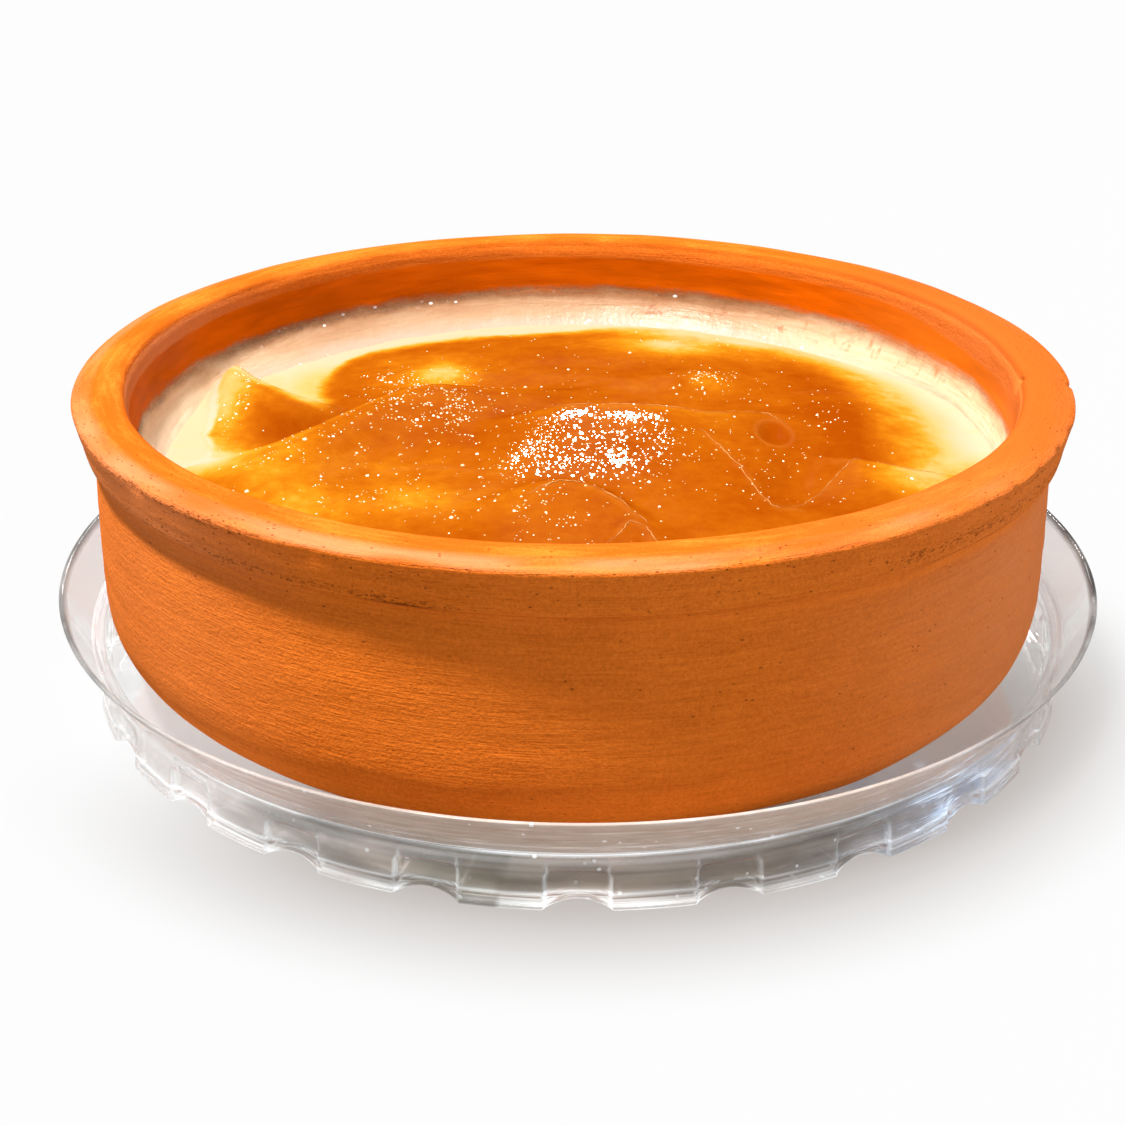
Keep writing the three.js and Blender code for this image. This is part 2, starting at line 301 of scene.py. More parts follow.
class PuddingLook(bpy.types.PropertyGroup):
    """Mesh fineness and colours of the pudding and of the dried milk above it."""

    around: IntProperty(name="Segments", description="Steps round the skin", default=576, min=48)
    rings: IntProperty(name="Rings", description="Steps from the wall to the middle", default=148, min=8)
    film_top: FloatProperty(name="Film top", description="Height that the dried milk reaches",
                            default=32.3 * MM, unit="LENGTH")
    film_thickness: FloatProperty(name="Film thickness", description="Thickness of the dried milk",
                                  default=0.28 * MM, unit="LENGTH")
    cream: FloatVectorProperty(name="Cream", description="Colour of the unbrowned pudding",
                               subtype="COLOR", default=(0.43, 0.285, 0.185))
    deep: FloatVectorProperty(name="Deep brown", description="Colour of the darkest skin",
                              subtype="COLOR", default=(0.195, 0.0315, 0.0003))


class SaucerLook(bpy.types.PropertyGroup):
    """Mesh fineness and finish of the clear saucer."""

    steps: IntProperty(name="Steps", description="Steps round each notch and foot", default=28, min=8)
    haze: FloatProperty(name="Haze", description="Share of light that the plastic scatters",
                        default=0.03, min=0, max=1, subtype="FACTOR")
    tint: FloatVectorProperty(name="Tint", description="Colour of the plastic", subtype="COLOR",
                              default=(0.97, 0.98, 1.0))
    shade: FloatVectorProperty(name="Shade", description="Colour that the clay's shade lends the front",
                               subtype="COLOR", default=(0.83, 0.74, 0.66))
    gleam: FloatProperty(name="Gleam", description="Light that the edges gather and give off",
                         default=0.4)
    faint: FloatProperty(name="Faintness", description="Share of light that goes straight through",
                         default=0.5, min=0, max=1, subtype="FACTOR")


class StageLook(bpy.types.PropertyGroup):
    """The floor and the light."""

    floor: FloatVectorProperty(name="Floor", description="Colour of the floor", subtype="COLOR",
                               default=(0.03, 0.03, 0.03))
    floor_glow: FloatProperty(name="Floor glow", description="Light that the floor gives off",
                              default=0.885)
    sky: FloatProperty(name="Sky", description="Strength of the even light from all round", default=0.42)
    key: FloatProperty(name="Key light", description="Strength of the high light at the left",
                       default=9.2)
    window: FloatProperty(name="Window light", description="Power of the lamp behind",
                          default=11.0, unit="POWER")
    fill: FloatProperty(name="Fill light", description="Power of the bluish lamp at the right",
                        default=2.6, unit="POWER")


# ---- numbers

def smooth(x, low, high):
    """0 below low, 1 above high, and an S-shaped rise between them."""
    t = np.clip((x - low) / (high - low), 0, 1)
    return t * t * (3 - 2 * t)


def swell(x, y, cx, cy, along, across, turn):
    """A smooth oval bump of height 1: exp of minus the squared distance in half-lengths."""
    angle = math.radians(turn)
    u = ((x - cx) * math.cos(angle) + (y - cy) * math.sin(angle)) / along
    v = ((y - cy) * math.cos(angle) - (x - cx) * math.sin(angle)) / across
    return np.exp(-(u * u + v * v))


def through(values, share):
    """A smooth (Catmull-Rom) curve through evenly spread values, read at shares from 0 to 1."""
    padded = np.array([values[0], *values, values[-1]], float)
    last = len(values) - 1
    place = np.clip(share, 0, 1) * last
    i = np.minimum(place.astype(int), last - 1)
    a, b, c, d = padded[i], padded[i + 1], padded[i + 2], padded[i + 3]
    t = place - i
    return b + 0.5 * t * (c - a + t * (2 * a - 5 * b + 4 * c - d + t * (3 * b - a - 3 * c + d)))


def clouds(x, y, size, seed, wrap=256):
    """A soft random field from -1 to 1: a random lattice with that spacing, read between its points
    with S-shaped weights. It repeats after "wrap" lattice steps."""
    lattice = np.random.default_rng(seed).uniform(-1, 1, (wrap, wrap))
    i = np.floor(x / size).astype(int)
    j = np.floor(y / size).astype(int)
    u = smooth(x / size - i, 0, 1)
    v = smooth(y / size - j, 0, 1)
    near = lattice[i % wrap, j % wrap] * (1 - u) + lattice[(i + 1) % wrap, j % wrap] * u
    far = lattice[i % wrap, (j + 1) % wrap] * (1 - u) + lattice[(i + 1) % wrap, (j + 1) % wrap] * u
    return near * (1 - v) + far * v


def curve(places, steps, closed=False):
    """Points along a smooth curve through the places, with that many steps in all."""
    places = np.array(places, float)
    if closed:
        places = np.concatenate([places[-2:], places, places[:3]])
        share = np.linspace(2, len(places) - 3, steps + 1)[:-1] / (len(places) - 1)
    else:
        share = np.linspace(0, 1, steps + 1)
    return np.stack([through(places[:, axis], share) for axis in (0, 1)], 1)


def distance_to(x, y, line, closed=False):
    """The distance from every point to a line of short straight pieces, and how far along the line
    the nearest place is, from 0 to 1."""
    ends = np.roll(line, -1, 0) if closed else line[1:]
    starts = line if closed else line[:-1]
    nearest = np.full(x.shape, np.inf)
    along = np.zeros(x.shape)
    for i, (start, end) in enumerate(zip(starts, ends)):
        step = end - start
        t = ((x - start[0]) * step[0] + (y - start[1]) * step[1]) / (step @ step)
        t = np.clip(t, 0, 1)
        away = np.hypot(x - start[0] - t * step[0], y - start[1] - t * step[1])
        closer = away < nearest
        nearest = np.where(closer, away, nearest)
        along = np.where(closer, (i + t) / len(starts), along)
    return nearest, along


def inside_outline(x, y, line):
    """True inside a closed line: an upward ray crosses it an odd number of times."""
    crossings = np.zeros(x.shape, int)
    for (ax, ay), (bx, by) in zip(line, np.roll(line, -1, 0)):
        spans = (ax > x) != (bx > x)
        if ax != bx:
            crossings += spans & (y < ay + (by - ay) * (x - ax) / (bx - ax))
    return crossings % 2 == 1


# ---- meshes

def skin_faces(rings, around):
    """Faces of a closed skin whose points are a low pole, rings from low to high, and a high pole."""
    i = np.arange(around)
    ahead = (i + 1) % around
    first = 1 + around * np.arange(rings - 1)[:, None]
    quads = np.stack([first + i, first + ahead, first + around + ahead, first + around + i], -1)
    last = 1 + around * (rings - 1)
    high = 1 + around * rings
    low_fan = np.stack([np.zeros(around, int), 1 + ahead, 1 + i], -1)
    high_fan = np.stack([np.full(around, high), last + i, last + ahead], -1)
    return quads.reshape(-1, 4).tolist() + low_fan.tolist() + high_fan.tolist()


def loop_faces(rings, around):
    """Faces of a closed band whose rings follow a section that ends where it starts."""
    i = np.arange(around)
    ahead = (i + 1) % around
    first = around * np.arange(rings)[:, None]
    above = around * ((np.arange(rings) + 1) % rings)[:, None]
    return np.stack([first + i, first + ahead, above + ahead, above + i], -1).reshape(-1, 4).tolist()


def add_piece(name, points, faces, material, node=None, values=None, vectors=None):
    """Makes a smooth-shaded mesh object from points in millimetres, with its attributes, that rides
    on the root body and stands for a solid of the frame where one is named."""
    mesh = bpy.data.meshes.new(name)
    mesh.from_pydata((points * MM).tolist(), [], faces)
    mesh.shade_smooth()
    for key, value in (values or {}).items():
        mesh.attributes.new(key, "FLOAT", "POINT").data.foreach_set("value", value.astype(np.float32))
    for key, value in (vectors or {}).items():
        attribute = mesh.attributes.new(key, "FLOAT_VECTOR", "POINT")
        attribute.data.foreach_set("vector", value.astype(np.float32).ravel())
    mesh.materials.append(material)
    piece = bpy.data.objects.new(name, mesh)
    bpy.context.scene.collection.objects.link(piece)
    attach(piece, "root")
    if node:
        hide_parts(node)
    return piece


# ---- materials

class Wire:
    """A shader socket in a Python expression. Arithmetic on it adds Math nodes."""

    def __init__(self, recipe, socket):
        self.recipe = recipe
        self.socket = socket

    def maths(self, operation, first, second):
        return self.recipe.node("ShaderNodeMath", {"operation": operation}, {0: first, 1: second})

    def __add__(self, other):
        return self.maths("ADD", self, other)

    def __sub__(self, other):
        return self.maths("SUBTRACT", self, other)

    def __rsub__(self, other):
        return self.maths("SUBTRACT", other, self)

    def __mul__(self, other):
        return self.maths("MULTIPLY", self, other)

    __radd__ = __add__
    __rmul__ = __mul__


class Recipe:
    """A material while its nodes are written."""

    def __init__(self, name):
        self.material = bpy.data.materials.new(name)
        self.material.use_nodes = True
        self.tree = self.material.node_tree
        self.tree.nodes.clear()

    def node(self, kind, settings=None, sockets=None, output=0):
        """Adds a node, gives it its settings and then its sockets' values or links."""
        made = self.tree.nodes.new(kind)
        for name, value in (settings or {}).items():
            if name == "stops":
                self.set_stops(made.color_ramp, value)
            else:
                setattr(made, name, value)
        for name, value in (sockets or {}).items():
            if isinstance(value, Wire):
                self.tree.links.new(value.socket, made.inputs[name])
            else:
                made.inputs[name].default_value = value
        return Wire(self, made.outputs[output]) if made.outputs else None

    @staticmethod
    def set_stops(ramp, stops):
        while len(ramp.elements) < len(stops):
            ramp.elements.new(1.0)
        for element, (place, colour) in zip(ramp.elements, stops):
            element.position = place
            element.color = (*colour, 1.0)

    def object_place(self):
        return self.node("ShaderNodeTexCoord", output="Object")

    def value(self, name):
        return self.node("ShaderNodeAttribute", {"attribute_name": name}, output="Fac")

    def vector(self, name):
        return self.node("ShaderNodeAttribute", {"attribute_name": name}, output="Vector")

    def mapped(self, place, scale=(1, 1, 1), turn=(0, 0, 0)):
        return self.node("ShaderNodeMapping", {}, {"Vector": place, "Scale": scale, "Rotation": turn})

    def noise(self, place, scale, detail=2.0, roughness=0.5, distortion=0.0):
        """Soft noise about 0, from about -1 to 1."""
        sockets = {"Vector": place, "Scale": scale, "Detail": detail, "Roughness": roughness,
                   "Distortion": distortion}
        return (self.node("ShaderNodeTexNoise", {}, sockets, output="Fac") - 0.5) * 3.0

    def cells(self, place, scale, feature="F1", randomness=1.0, output="Distance"):
        sockets = {"Vector": place, "Scale": scale, "Randomness": randomness}
        return self.node("ShaderNodeTexVoronoi", {"feature": feature}, sockets, output=output)

    def other(self, wire, output):
        """Another output of the node that a wire comes from."""
        return Wire(self, wire.socket.node.outputs[output])

    def rise(self, value, low, high):
        """0 where the value is below low, 1 where it is above high, and smooth between."""
        sockets = {"Value": value, "From Min": low, "From Max": high}
        return self.node("ShaderNodeMapRange", {"interpolation_type": "SMOOTHSTEP"}, sockets)

    def size(self, value):
        """The value without its sign."""
        return self.node("ShaderNodeMath", {"operation": "ABSOLUTE"}, {0: value})

    def mix(self, factor, first, second, kind="MIX"):
        """A colour between two colours."""
        settings = {"data_type": "RGBA", "blend_type": kind, "clamp_factor": True}
        colours = [c if isinstance(c, Wire) else (*c, 1.0) for c in (first, second)]
        return self.node("ShaderNodeMix", settings, {0: factor, 6: colours[0], 7: colours[1]}, output=2)

    def ramp(self, value, stops):
        return self.node("ShaderNodeValToRGB", {"stops": stops}, {"Fac": value})

    def bump(self, height_mm):
        """A normal from a height in millimetres."""
        return self.node("ShaderNodeBump", {}, {"Height": height_mm, "Distance": MM, "Strength": 1.0})

    def blend(self, factor, first, second):
        """A shader between two shaders."""
        return self.node("ShaderNodeMixShader", {}, {0: factor, 1: first, 2: second})

    def finish(self, shader):
        self.node("ShaderNodeOutputMaterial", {}, {"Surface": shader})
        return self.material

    def surface(self, sockets):
        return self.node("ShaderNodeBsdfPrincipled", {}, sockets)


RUDDY_CLAY = (0.38, 0.07, 0.004)
# Colour of the painted shade in the clay's pits.
PIT_SHADE_CLAY = (0.17, 0.036, 0.006)
# Colour of the painted shade of the crumbly relief.
CRUMB_SHADE_CLAY = (0.22, 0.046, 0.007)
# Colour of the painted shade under the band's lower edge.
UNDER_BAND_SHADE_CLAY = (0.24, 0.048, 0.005)
# Colour of the dark line along the band's lower edge: a crack with painted shade in it.
CRACK_SHADE_CLAY = (0.12, 0.022, 0.004)


def terracotta(look, ledge):
    """Fired clay with throwing lines, sand, pits and smears, and a glaze where its glaze is 1. Painted
    into its colour are shade in the pits and crumbs, a shade just under the band's lower edge, a dark
    crack line with its shade along that edge, a pale highlight on that edge and a pale strip below it,
    sheen mixed with the pale dust, and a lighter glaze where light falls inside on the right. Its "turned"
    vector is x, y and the way along the outline in millimetres. The ledge is how far along the outline the
    band's lower edge is."""
    r = Recipe("terracotta")
    place = r.object_place()
    turned = r.vector("turned")
    way = r.node("ShaderNodeSeparateXYZ", {}, {"Vector": turned}, output="Z")
    band, top, crumbly, cracked, bloom = (
        r.value(name) for name in ("band", "top", "crumbly", "cracked", "bloom")
    )
    fibres = r.noise(r.mapped(turned, (0.22, 0.22, 5)), 1, 2, 0.65)
    lines = r.noise(r.mapped(turned, (0.06, 0.06, 1.6)), 1, 2, 0.6)
    smears = r.noise(r.mapped(turned, (0.11, 0.11, 0.7)), 1, 3, 0.65, 0.4)
    brushed = r.noise(r.mapped(turned, (0.5, 0.5, 2.2), (0, math.radians(12), 0)), 1, 2, 0.6)
    sand = r.noise(place, 2400, 2, 0.7)
    dust = r.noise(place, 5600, 1)
    blotches = r.noise(place, 55, 2, 0.6)
    pit_place = r.mapped(turned, (1.5, 1.5, 2.4))
    cell = r.cells(pit_place, 1)
    chosen = r.node("ShaderNodeSeparateColor", {}, {"Color": r.other(cell, "Color")})
    pitted = r.rise(chosen + crumbly * 0.5 + band * 0.09, 0.965, 1.0)
    pits = (1 - r.rise(cell, 0.12, 0.3)) * pitted
    crumbs = r.noise(r.mapped(turned, (1.2, 1.2, 2.8)), 1, 3, 0.75)
    crumbs = r.rise(crumbs, 0.1, 0.5) * r.rise(crumbly + fibres * 0.35, 0.3, 0.8)
    worms = r.size(r.noise(r.mapped(turned, (0.9, 0.9, 1.3)), 1, 2, 0.6, 0.6))
    worms = (1 - r.rise(worms, 0.02, 0.09)) * r.rise(blotches + fibres * 0.3, -0.1, 0.5) * (1 - top)
    past_ledge = way - ledge + brushed * 0.12
    from_ledge = r.size(past_ledge)
    on_ledge = 1 - r.rise(from_ledge, 0.05, 0.3)
    # Painted shade: a strip just under the band's lower edge.
    under = r.rise(past_ledge, -1.5, -0.8) * (1 - r.rise(past_ledge, -0.4, 0.1))
    # Painted highlight: a pale strip a little lower, on the neck's ridge.
    below = r.rise(past_ledge, -2.8, -2.2) * (1 - r.rise(past_ledge, -2.0, -1.5))
    # Where the crack and its shade are painted as a dark line on the band's lower edge.
    crack_shade_line = on_ledge * r.rise(cracked + smears * 0.4, 0.2, 0.9)
    glaze = r.rise(r.value("glaze") + r.noise(place, 300, 1, 0.6) * 0.12, 0.30, 0.70)
    tone = fibres * 0.22 + lines * 0.15 + brushed * 0.10 + sand * 0.32 + dust * 0.2 + blotches * 0.18
    tone = tone + top * (smears * 0.7 + blotches * 0.6 - 0.3)
    dark = tuple(0.70 * c for c in look.clay)
    pale = (1.2 * look.clay[0], 1.45 * look.clay[1], 2.2 * look.clay[2])
    clay = r.mix(r.rise(tone, -0.75, 0.75), dark, pale)
    clay = r.mix(r.value("ruddy") * (0.95 + smears * 0.2), clay, RUDDY_CLAY)
    # Pale dust mixed with painted sheen.
    clay = r.mix(bloom + bloom * smears * 0.3, clay, look.bloom)
    clay = r.mix(worms * 0.3, clay, pale)
    # Painted shade: the pits are darkened in the colour as well as sunk by the bump.
    clay = r.mix(pits * 0.6, clay, PIT_SHADE_CLAY)
    # Painted shade: the crumbs are darkened in the colour as well as sunk by the bump.
    clay = r.mix(crumbs * 0.42, clay, CRUMB_SHADE_CLAY)
    # Painted shade under the band.
    clay = r.mix(under * (0.5 + brushed * 0.3), clay, UNDER_BAND_SHADE_CLAY)
    # Painted highlights: a pale strip on the neck's ridge below the band and a pale line along the band's
    # lower edge.
    clay = r.mix(below * (0.3 + smears * 0.3), clay, pale)
    clay = r.mix(on_ledge * 0.22, clay, pale)
    # Painted shade of the crack along the band's lower edge.
    clay = r.mix(crack_shade_line * 0.75, clay, CRACK_SHADE_CLAY)
    glaze_tone = r.rise(blotches * 0.9 + fibres * 0.15 + smears * 0.6, -1, 1)
    glazed = r.mix(glaze_tone, tuple(0.62 * c for c in look.glaze), look.glaze)
    # Painted light: the glaze is lighter on the inside right wall.
    glazed = r.mix(r.value("lit_glaze"), glazed, look.lit_glaze_colour)
    rough = 0.65 + band * 0.6
    height = (fibres * 0.04 + brushed * 0.03 + sand * 0.055) * rough
    height = height - pits * 0.14 - crumbs * 0.16
    wavy = r.noise(place, 160, 1) * 0.03 + fibres * 0.006
    return r.finish(r.surface({
        "Base Color": r.mix(glaze, clay, glazed),
        "Roughness": 0.82 + sand * 0.06,
        "Normal": r.bump(height * (1 - glaze) + wavy * glaze),
        "Specular IOR Level": 0.0,
        "Coat Weight": glaze * 0.12,
        "Coat Roughness": 0.15,
    }))


def skin_colours(look):
    """The colours from cream through gold and amber to deep brown, by how far the skin browned."""
    return (
        (0.0, look.cream),
        (0.12, (0.39, 0.24, 0.075)),
        (0.25, (0.37, 0.172, 0.014)),
        (0.38, (0.335, 0.12, 0.004)),
        (0.52, (0.295, 0.083, 0.002)),
        (0.68, (0.252, 0.057, 0.0012)),
        (0.84, (0.222, 0.043, 0.0007)),
        (1.0, look.deep),
    )


def baked_skin(look):
    """Wet baked milk skin: colour by browning and by the painted shade and light of its folds, pinkish
    along drawn-up edges, beaded where wet.
    """
    r = Recipe("baked_skin")
    place = r.object_place()
    brown = r.value("brown")
    crest = r.value("crest")
    wet = r.value("wet")
    cloudy = r.noise(place, 110, 3, 0.65)
    mottled = r.noise(place, 620, 2, 0.6)
    fine = r.noise(place, 2200, 1, 0.6)
    wrinkly = r.noise(r.mapped(place, (420, 150, 150), (0, 0, math.radians(-20))), 1, 3, 0.6, 0.5)
    stains = cloudy * 0.21 + mottled * 0.1 + fine * 0.03
    depth = brown + stains * r.rise(brown, 0.02, 0.35)
    colour = r.ramp(depth, skin_colours(look))
    colour = r.mix(crest * 0.3, colour, (0.38, 0.13, 0.025))
    milky = 1 - r.rise(brown, 0.0, 0.25)
    colour = r.mix(milky * r.value("back") * 0.85, colour, (0.375, 0.265, 0.165))
    curds = r.noise(r.mapped(place, (40, 300, 100), (0, 0, math.radians(20))), 1, 4, 0.6)
    colour = r.mix(milky * r.rise(curds, 0.1, 1.2) * 0.5, colour, (0.48, 0.27, 0.09))
    height = fine * 0.006 + wrinkly * 0.02 + mottled * 0.02
    return r.finish(r.surface({
        "Base Color": colour,
        "Roughness": 0.35 + fine * 0.03,
        "Normal": r.bump(height),
        "Specular IOR Level": 0.0,
        "Coat Weight": 0.0008 + wet * 0.001,
        "Coat Roughness": 0.2,
    }))


def dried_milk(look):
    """The film on the wall: cream at its foot, pinkish above, with streaks, clouds and bare pocks,
    and so thin at its top that the wall shows through."""
    r = Recipe("dried_milk")
    ring = r.vector("ring")
    share = r.value("share")
    right = r.value("right")
    streaks = r.noise(r.mapped(ring, (0.8, 0.8, 0.09)), 1, 3, 0.65)
    swept = r.noise(r.mapped(ring, (0.10, 0.10, 0.9)), 1, 2, 0.6, 0.4)
    cloudy = r.noise(r.mapped(ring, (0.14, 0.14, 0.45)), 1, 3, 0.6, 0.3)
    pocks = r.noise(r.mapped(ring, (0.55, 0.55, 0.22)), 1, 3, 0.55)
    pocks = r.rise(pocks + streaks * 0.35, 0.12, 0.75)
    pocks = pocks * r.rise(share, 0.12, 0.3) * (1 - r.rise(share, 0.55, 0.8)) * right
    thin = r.rise(share + streaks * 0.08 + cloudy * 0.30 + swept * 0.22, 0.1, 1.1)
    back = r.value("back")
    colour = r.mix(thin, (0.74, 0.55, 0.36), (0.62, 0.31, 0.14))
    white = r.rise(cloudy * 0.7 + swept * 0.5, 0.15, 0.9)
    colour = r.mix(white * 0.6, colour, (0.80, 0.64, 0.46))
    colour = r.mix(r.rise(share, 0.82, 0.93) * right * 0.5, colour, (0.70, 0.48, 0.32))
    colour = r.mix(pocks * 0.6, colour, (0.52, 0.17, 0.05))
    dirty = r.rise(share + streaks * 0.05 + cloudy * 0.08, 0.5, 0.64) * (1 - r.rise(share, 0.66, 0.8))
    colour = r.mix(dirty * r.value("back") * 0.45, colour, (0.40, 0.20, 0.09))
    colour = r.mix(back, colour, r.mix(1.0, colour, (0.50, 0.41, 0.35), "MULTIPLY"))
    foot = 1 - r.rise(share + cloudy * 0.1 + swept * 0.06, 0.0, 0.3)
    foot_colour = r.mix(back, tuple(1.25 * c for c in look.cream), (0.36, 0.26, 0.185))
    colour = r.mix(foot, colour, foot_colour)
    spots = r.cells(r.mapped(ring, (0.5, 0.5, 0.8)), 1)
    places = r.rise(share, 0.5, 0.6) * (1 - r.rise(share, 0.75, 0.82)) + foot * 0.6
    glints = (1 - r.rise(spots, 0.12, 0.2)) * places * back
    colour = r.mix(glints * r.rise(cloudy, 0.0, 0.3), colour, (1.0, 1.0, 0.97))
    ragged = streaks * 0.02 + cloudy * 0.10 + r.noise(ring, 2.5, 3, 0.7) * 0.05
    fades = 1 - r.rise(share + ragged - right * 0.06, 0.52, 0.9)
    return r.finish(r.surface({
        "Base Color": colour,
        "Roughness": 0.38 + streaks * 0.05,
        "Normal": r.bump(streaks * 0.04 + swept * 0.05 + pocks * -0.06 + cloudy * 0.05),
        "Specular IOR Level": 0.14,
        "Alpha": fades,
    }))


def bubble_glint_skin():
    """Small glossy bubbles, from amber to nearly white by their tone; the white is partly pale foam and
    partly painted glints.
    """
    r = Recipe("bubble_glint_skin")
    tone = r.value("tone")
    return r.finish(r.surface({
        "Base Color": r.mix(tone, (0.40, 0.175, 0.02), (0.92, 0.80, 0.58)),
        "Roughness": 0.2 - tone * 0.1,
        "Specular IOR Level": 0.35,
    }))


def crease_highlight_skin():
    """Thin drawn-up edges of the skin, pale partly from the thin skin and partly as a painted highlight
    along the crests.
    """
    r = Recipe("crease_highlight_skin")
    tone = r.noise(r.object_place(), 700, 2)
    return r.finish(r.surface({
        "Base Color": r.mix(r.rise(tone, -1, 1), (0.29, 0.09, 0.012), (0.47, 0.23, 0.08)),
        "Roughness": 0.4 + tone * 0.02,
        "Specular IOR Level": 0.0,
    }))


def syrup(look):
    """Beads of browned syrup, glossier than the skin and of its colour."""
    r = Recipe("syrup")
    tone = r.noise(r.object_place(), 300, 2)
    stops = skin_colours(look)
    return r.finish(r.surface({
        "Base Color": r.mix(r.rise(tone, -1, 1), stops[-3][1], stops[-4][1]),
        "Roughness": 0.06 + tone * 0.01,
        "Specular IOR Level": 0.36,
    }))


def clear_plastic(look):
    """Clear moulded plastic with faint scratches and pale drops. Painted into it are glowing highlights on
    its corners, along bright lines and on the drops, blue reflections, grey shade along the edge at the
    sides and on the low front, and a beige veil on the skirt's front for the clay's shade seen through it.
    It lets the lamps' light through."""
    r = Recipe("clear_plastic")
    place = r.object_place()
    front = r.value("front")
    scratches = r.noise(r.mapped(place, (900, 60, 60), (0, 0, math.radians(35))), 1, 2)
    turned = r.vector("turned")
    streaks = r.noise(r.mapped(turned, (0.08, 0.08, 0.9)), 1, 3, 0.6)
    shine = r.noise(r.mapped(turned, (0.16, 0.16, 1.9)), 1, 3, 0.6, 0.3)
    drops = (1 - r.rise(r.cells(place, 380), 0.07, 0.11)) * front
    ripples = r.noise(place, 120, 2) * 0.03
    tint = r.mix(front * (0.8 + streaks * 0.3), look.tint, look.shade)
    # Painted blue reflection in the tint.
    tint = r.mix(r.value("blue") * r.rise(streaks, -0.4, 0.3), tint, (0.42, 0.62, 1.0))
    # Painted grey-green shade in the tint.
    tint = r.mix(r.value("dusk") * r.rise(streaks, -0.5, 0.1), tint, (0.5, 0.54, 0.49))
    clear = r.surface({
        "Base Color": tint,
        "Roughness": 0.04 + r.rise(scratches, 0.7, 1.3) * 0.1,
        "Normal": r.bump(ripples),
        "IOR": 1.5,
        "Transmission Weight": 1 - look.haze,
    })
    straight = r.node("ShaderNodeBsdfTransparent", {}, {"Color": (0.95, 0.945, 0.93, 1.0)})
    clear = r.blend(look.faint, clear, straight)
    # Painted shade: a beige veil on the skirt's front for the shade under the bowl seen through it.
    shade_veil = r.surface({
        "Base Color": r.mix(r.rise(shine, -0.2, 0.8), (0.43, 0.335, 0.265), (0.68, 0.61, 0.55)),
        "Roughness": 0.4 + streaks * 0.05,
        "Specular IOR Level": 0.0,
    })
    shade_veiled = r.value("skirt") * front * (0.5 + streaks * 0.15)
    clear = r.blend(shade_veiled, clear, shade_veil)
    # Painted highlights that glow: on corners, along the highlight lines, on the drops and in the blue
    # reflections.
    glint = r.surface({
        "Base Color": r.mix(r.value("blue"), (0.93, 0.95, 0.97), (0.72, 0.85, 1.0)),
        "Roughness": 0.15,
        "Specular IOR Level": 0.6,
        "Emission Color": (0.85, 0.93, 1.0, 1.0),
        "Emission Strength": look.gleam,
    })
    bright = r.value("corner") * r.rise(ripples * 10 + r.noise(place, 60, 2) * 0.5, -0.9, 0.5) * 0.6
    bright = bright + r.value("blue") * r.rise(shine, 0.1, 0.6) * 0.6 + drops * 0.35
    bright = bright + r.rise(shine, 0.5, 1.0) * front * 0.3
    bright = bright + r.value("lines") * (0.55 + streaks * 0.3)
    clear = r.blend(bright, clear, glint)
    # Painted shade: dark grey along the saucer's edge at the sides and dark patches on the low front.
    paler = r.rise(streaks, -0.5, 0.8)
    cool = r.mix(paler, (0.07, 0.07, 0.068), (0.26, 0.26, 0.25))
    warm = r.mix(paler, (0.09, 0.075, 0.055), (0.27, 0.22, 0.18))
    shaded = r.surface({
        "Base Color": r.mix(front, cool, warm),
        "Roughness": 0.3 + streaks * 0.04,
        "Specular IOR Level": 0.0,
    })
    clear = r.blend(r.value("grey"), clear, shaded)
    let_through = r.node("ShaderNodeBsdfTransparent", {}, {"Color": (0.86, 0.87, 0.87, 1.0)})
    shadow_ray = r.node("ShaderNodeLightPath", output="Is Shadow Ray")
    return r.finish(r.blend(shadow_ray, clear, let_through))


def pale_floor(look):
    """A lit white floor that is softly shaded round the front and right of the saucer's foot."""
    r = Recipe("pale_floor")
    place = r.object_place()
    away = r.node("ShaderNodeVectorMath", {"operation": "LENGTH"}, {0: place}, "Value")
    side = r.node("ShaderNodeVectorMath", {"operation": "DOT_PRODUCT"}, {0: place, 1: (0.45, -1, 0)},
                  "Value")
    shade = (1 - r.rise(away, FLOOR_SHADE_FROM, FLOOR_SHADE_TO)) * r.rise(side, 0.0, 0.05)
    tone = r.mix(shade, (1, 1, 1), (0.5, 0.45, 0.42))
    return r.finish(r.surface({
        "Base Color": r.mix(1.0, tone, look.floor, "MULTIPLY"),
        "Roughness": 0.9,
        "Specular IOR Level": 0.0,
        "Emission Color": tone,
        "Emission Strength": look.floor_glow,
    }))


# ---- the bowl

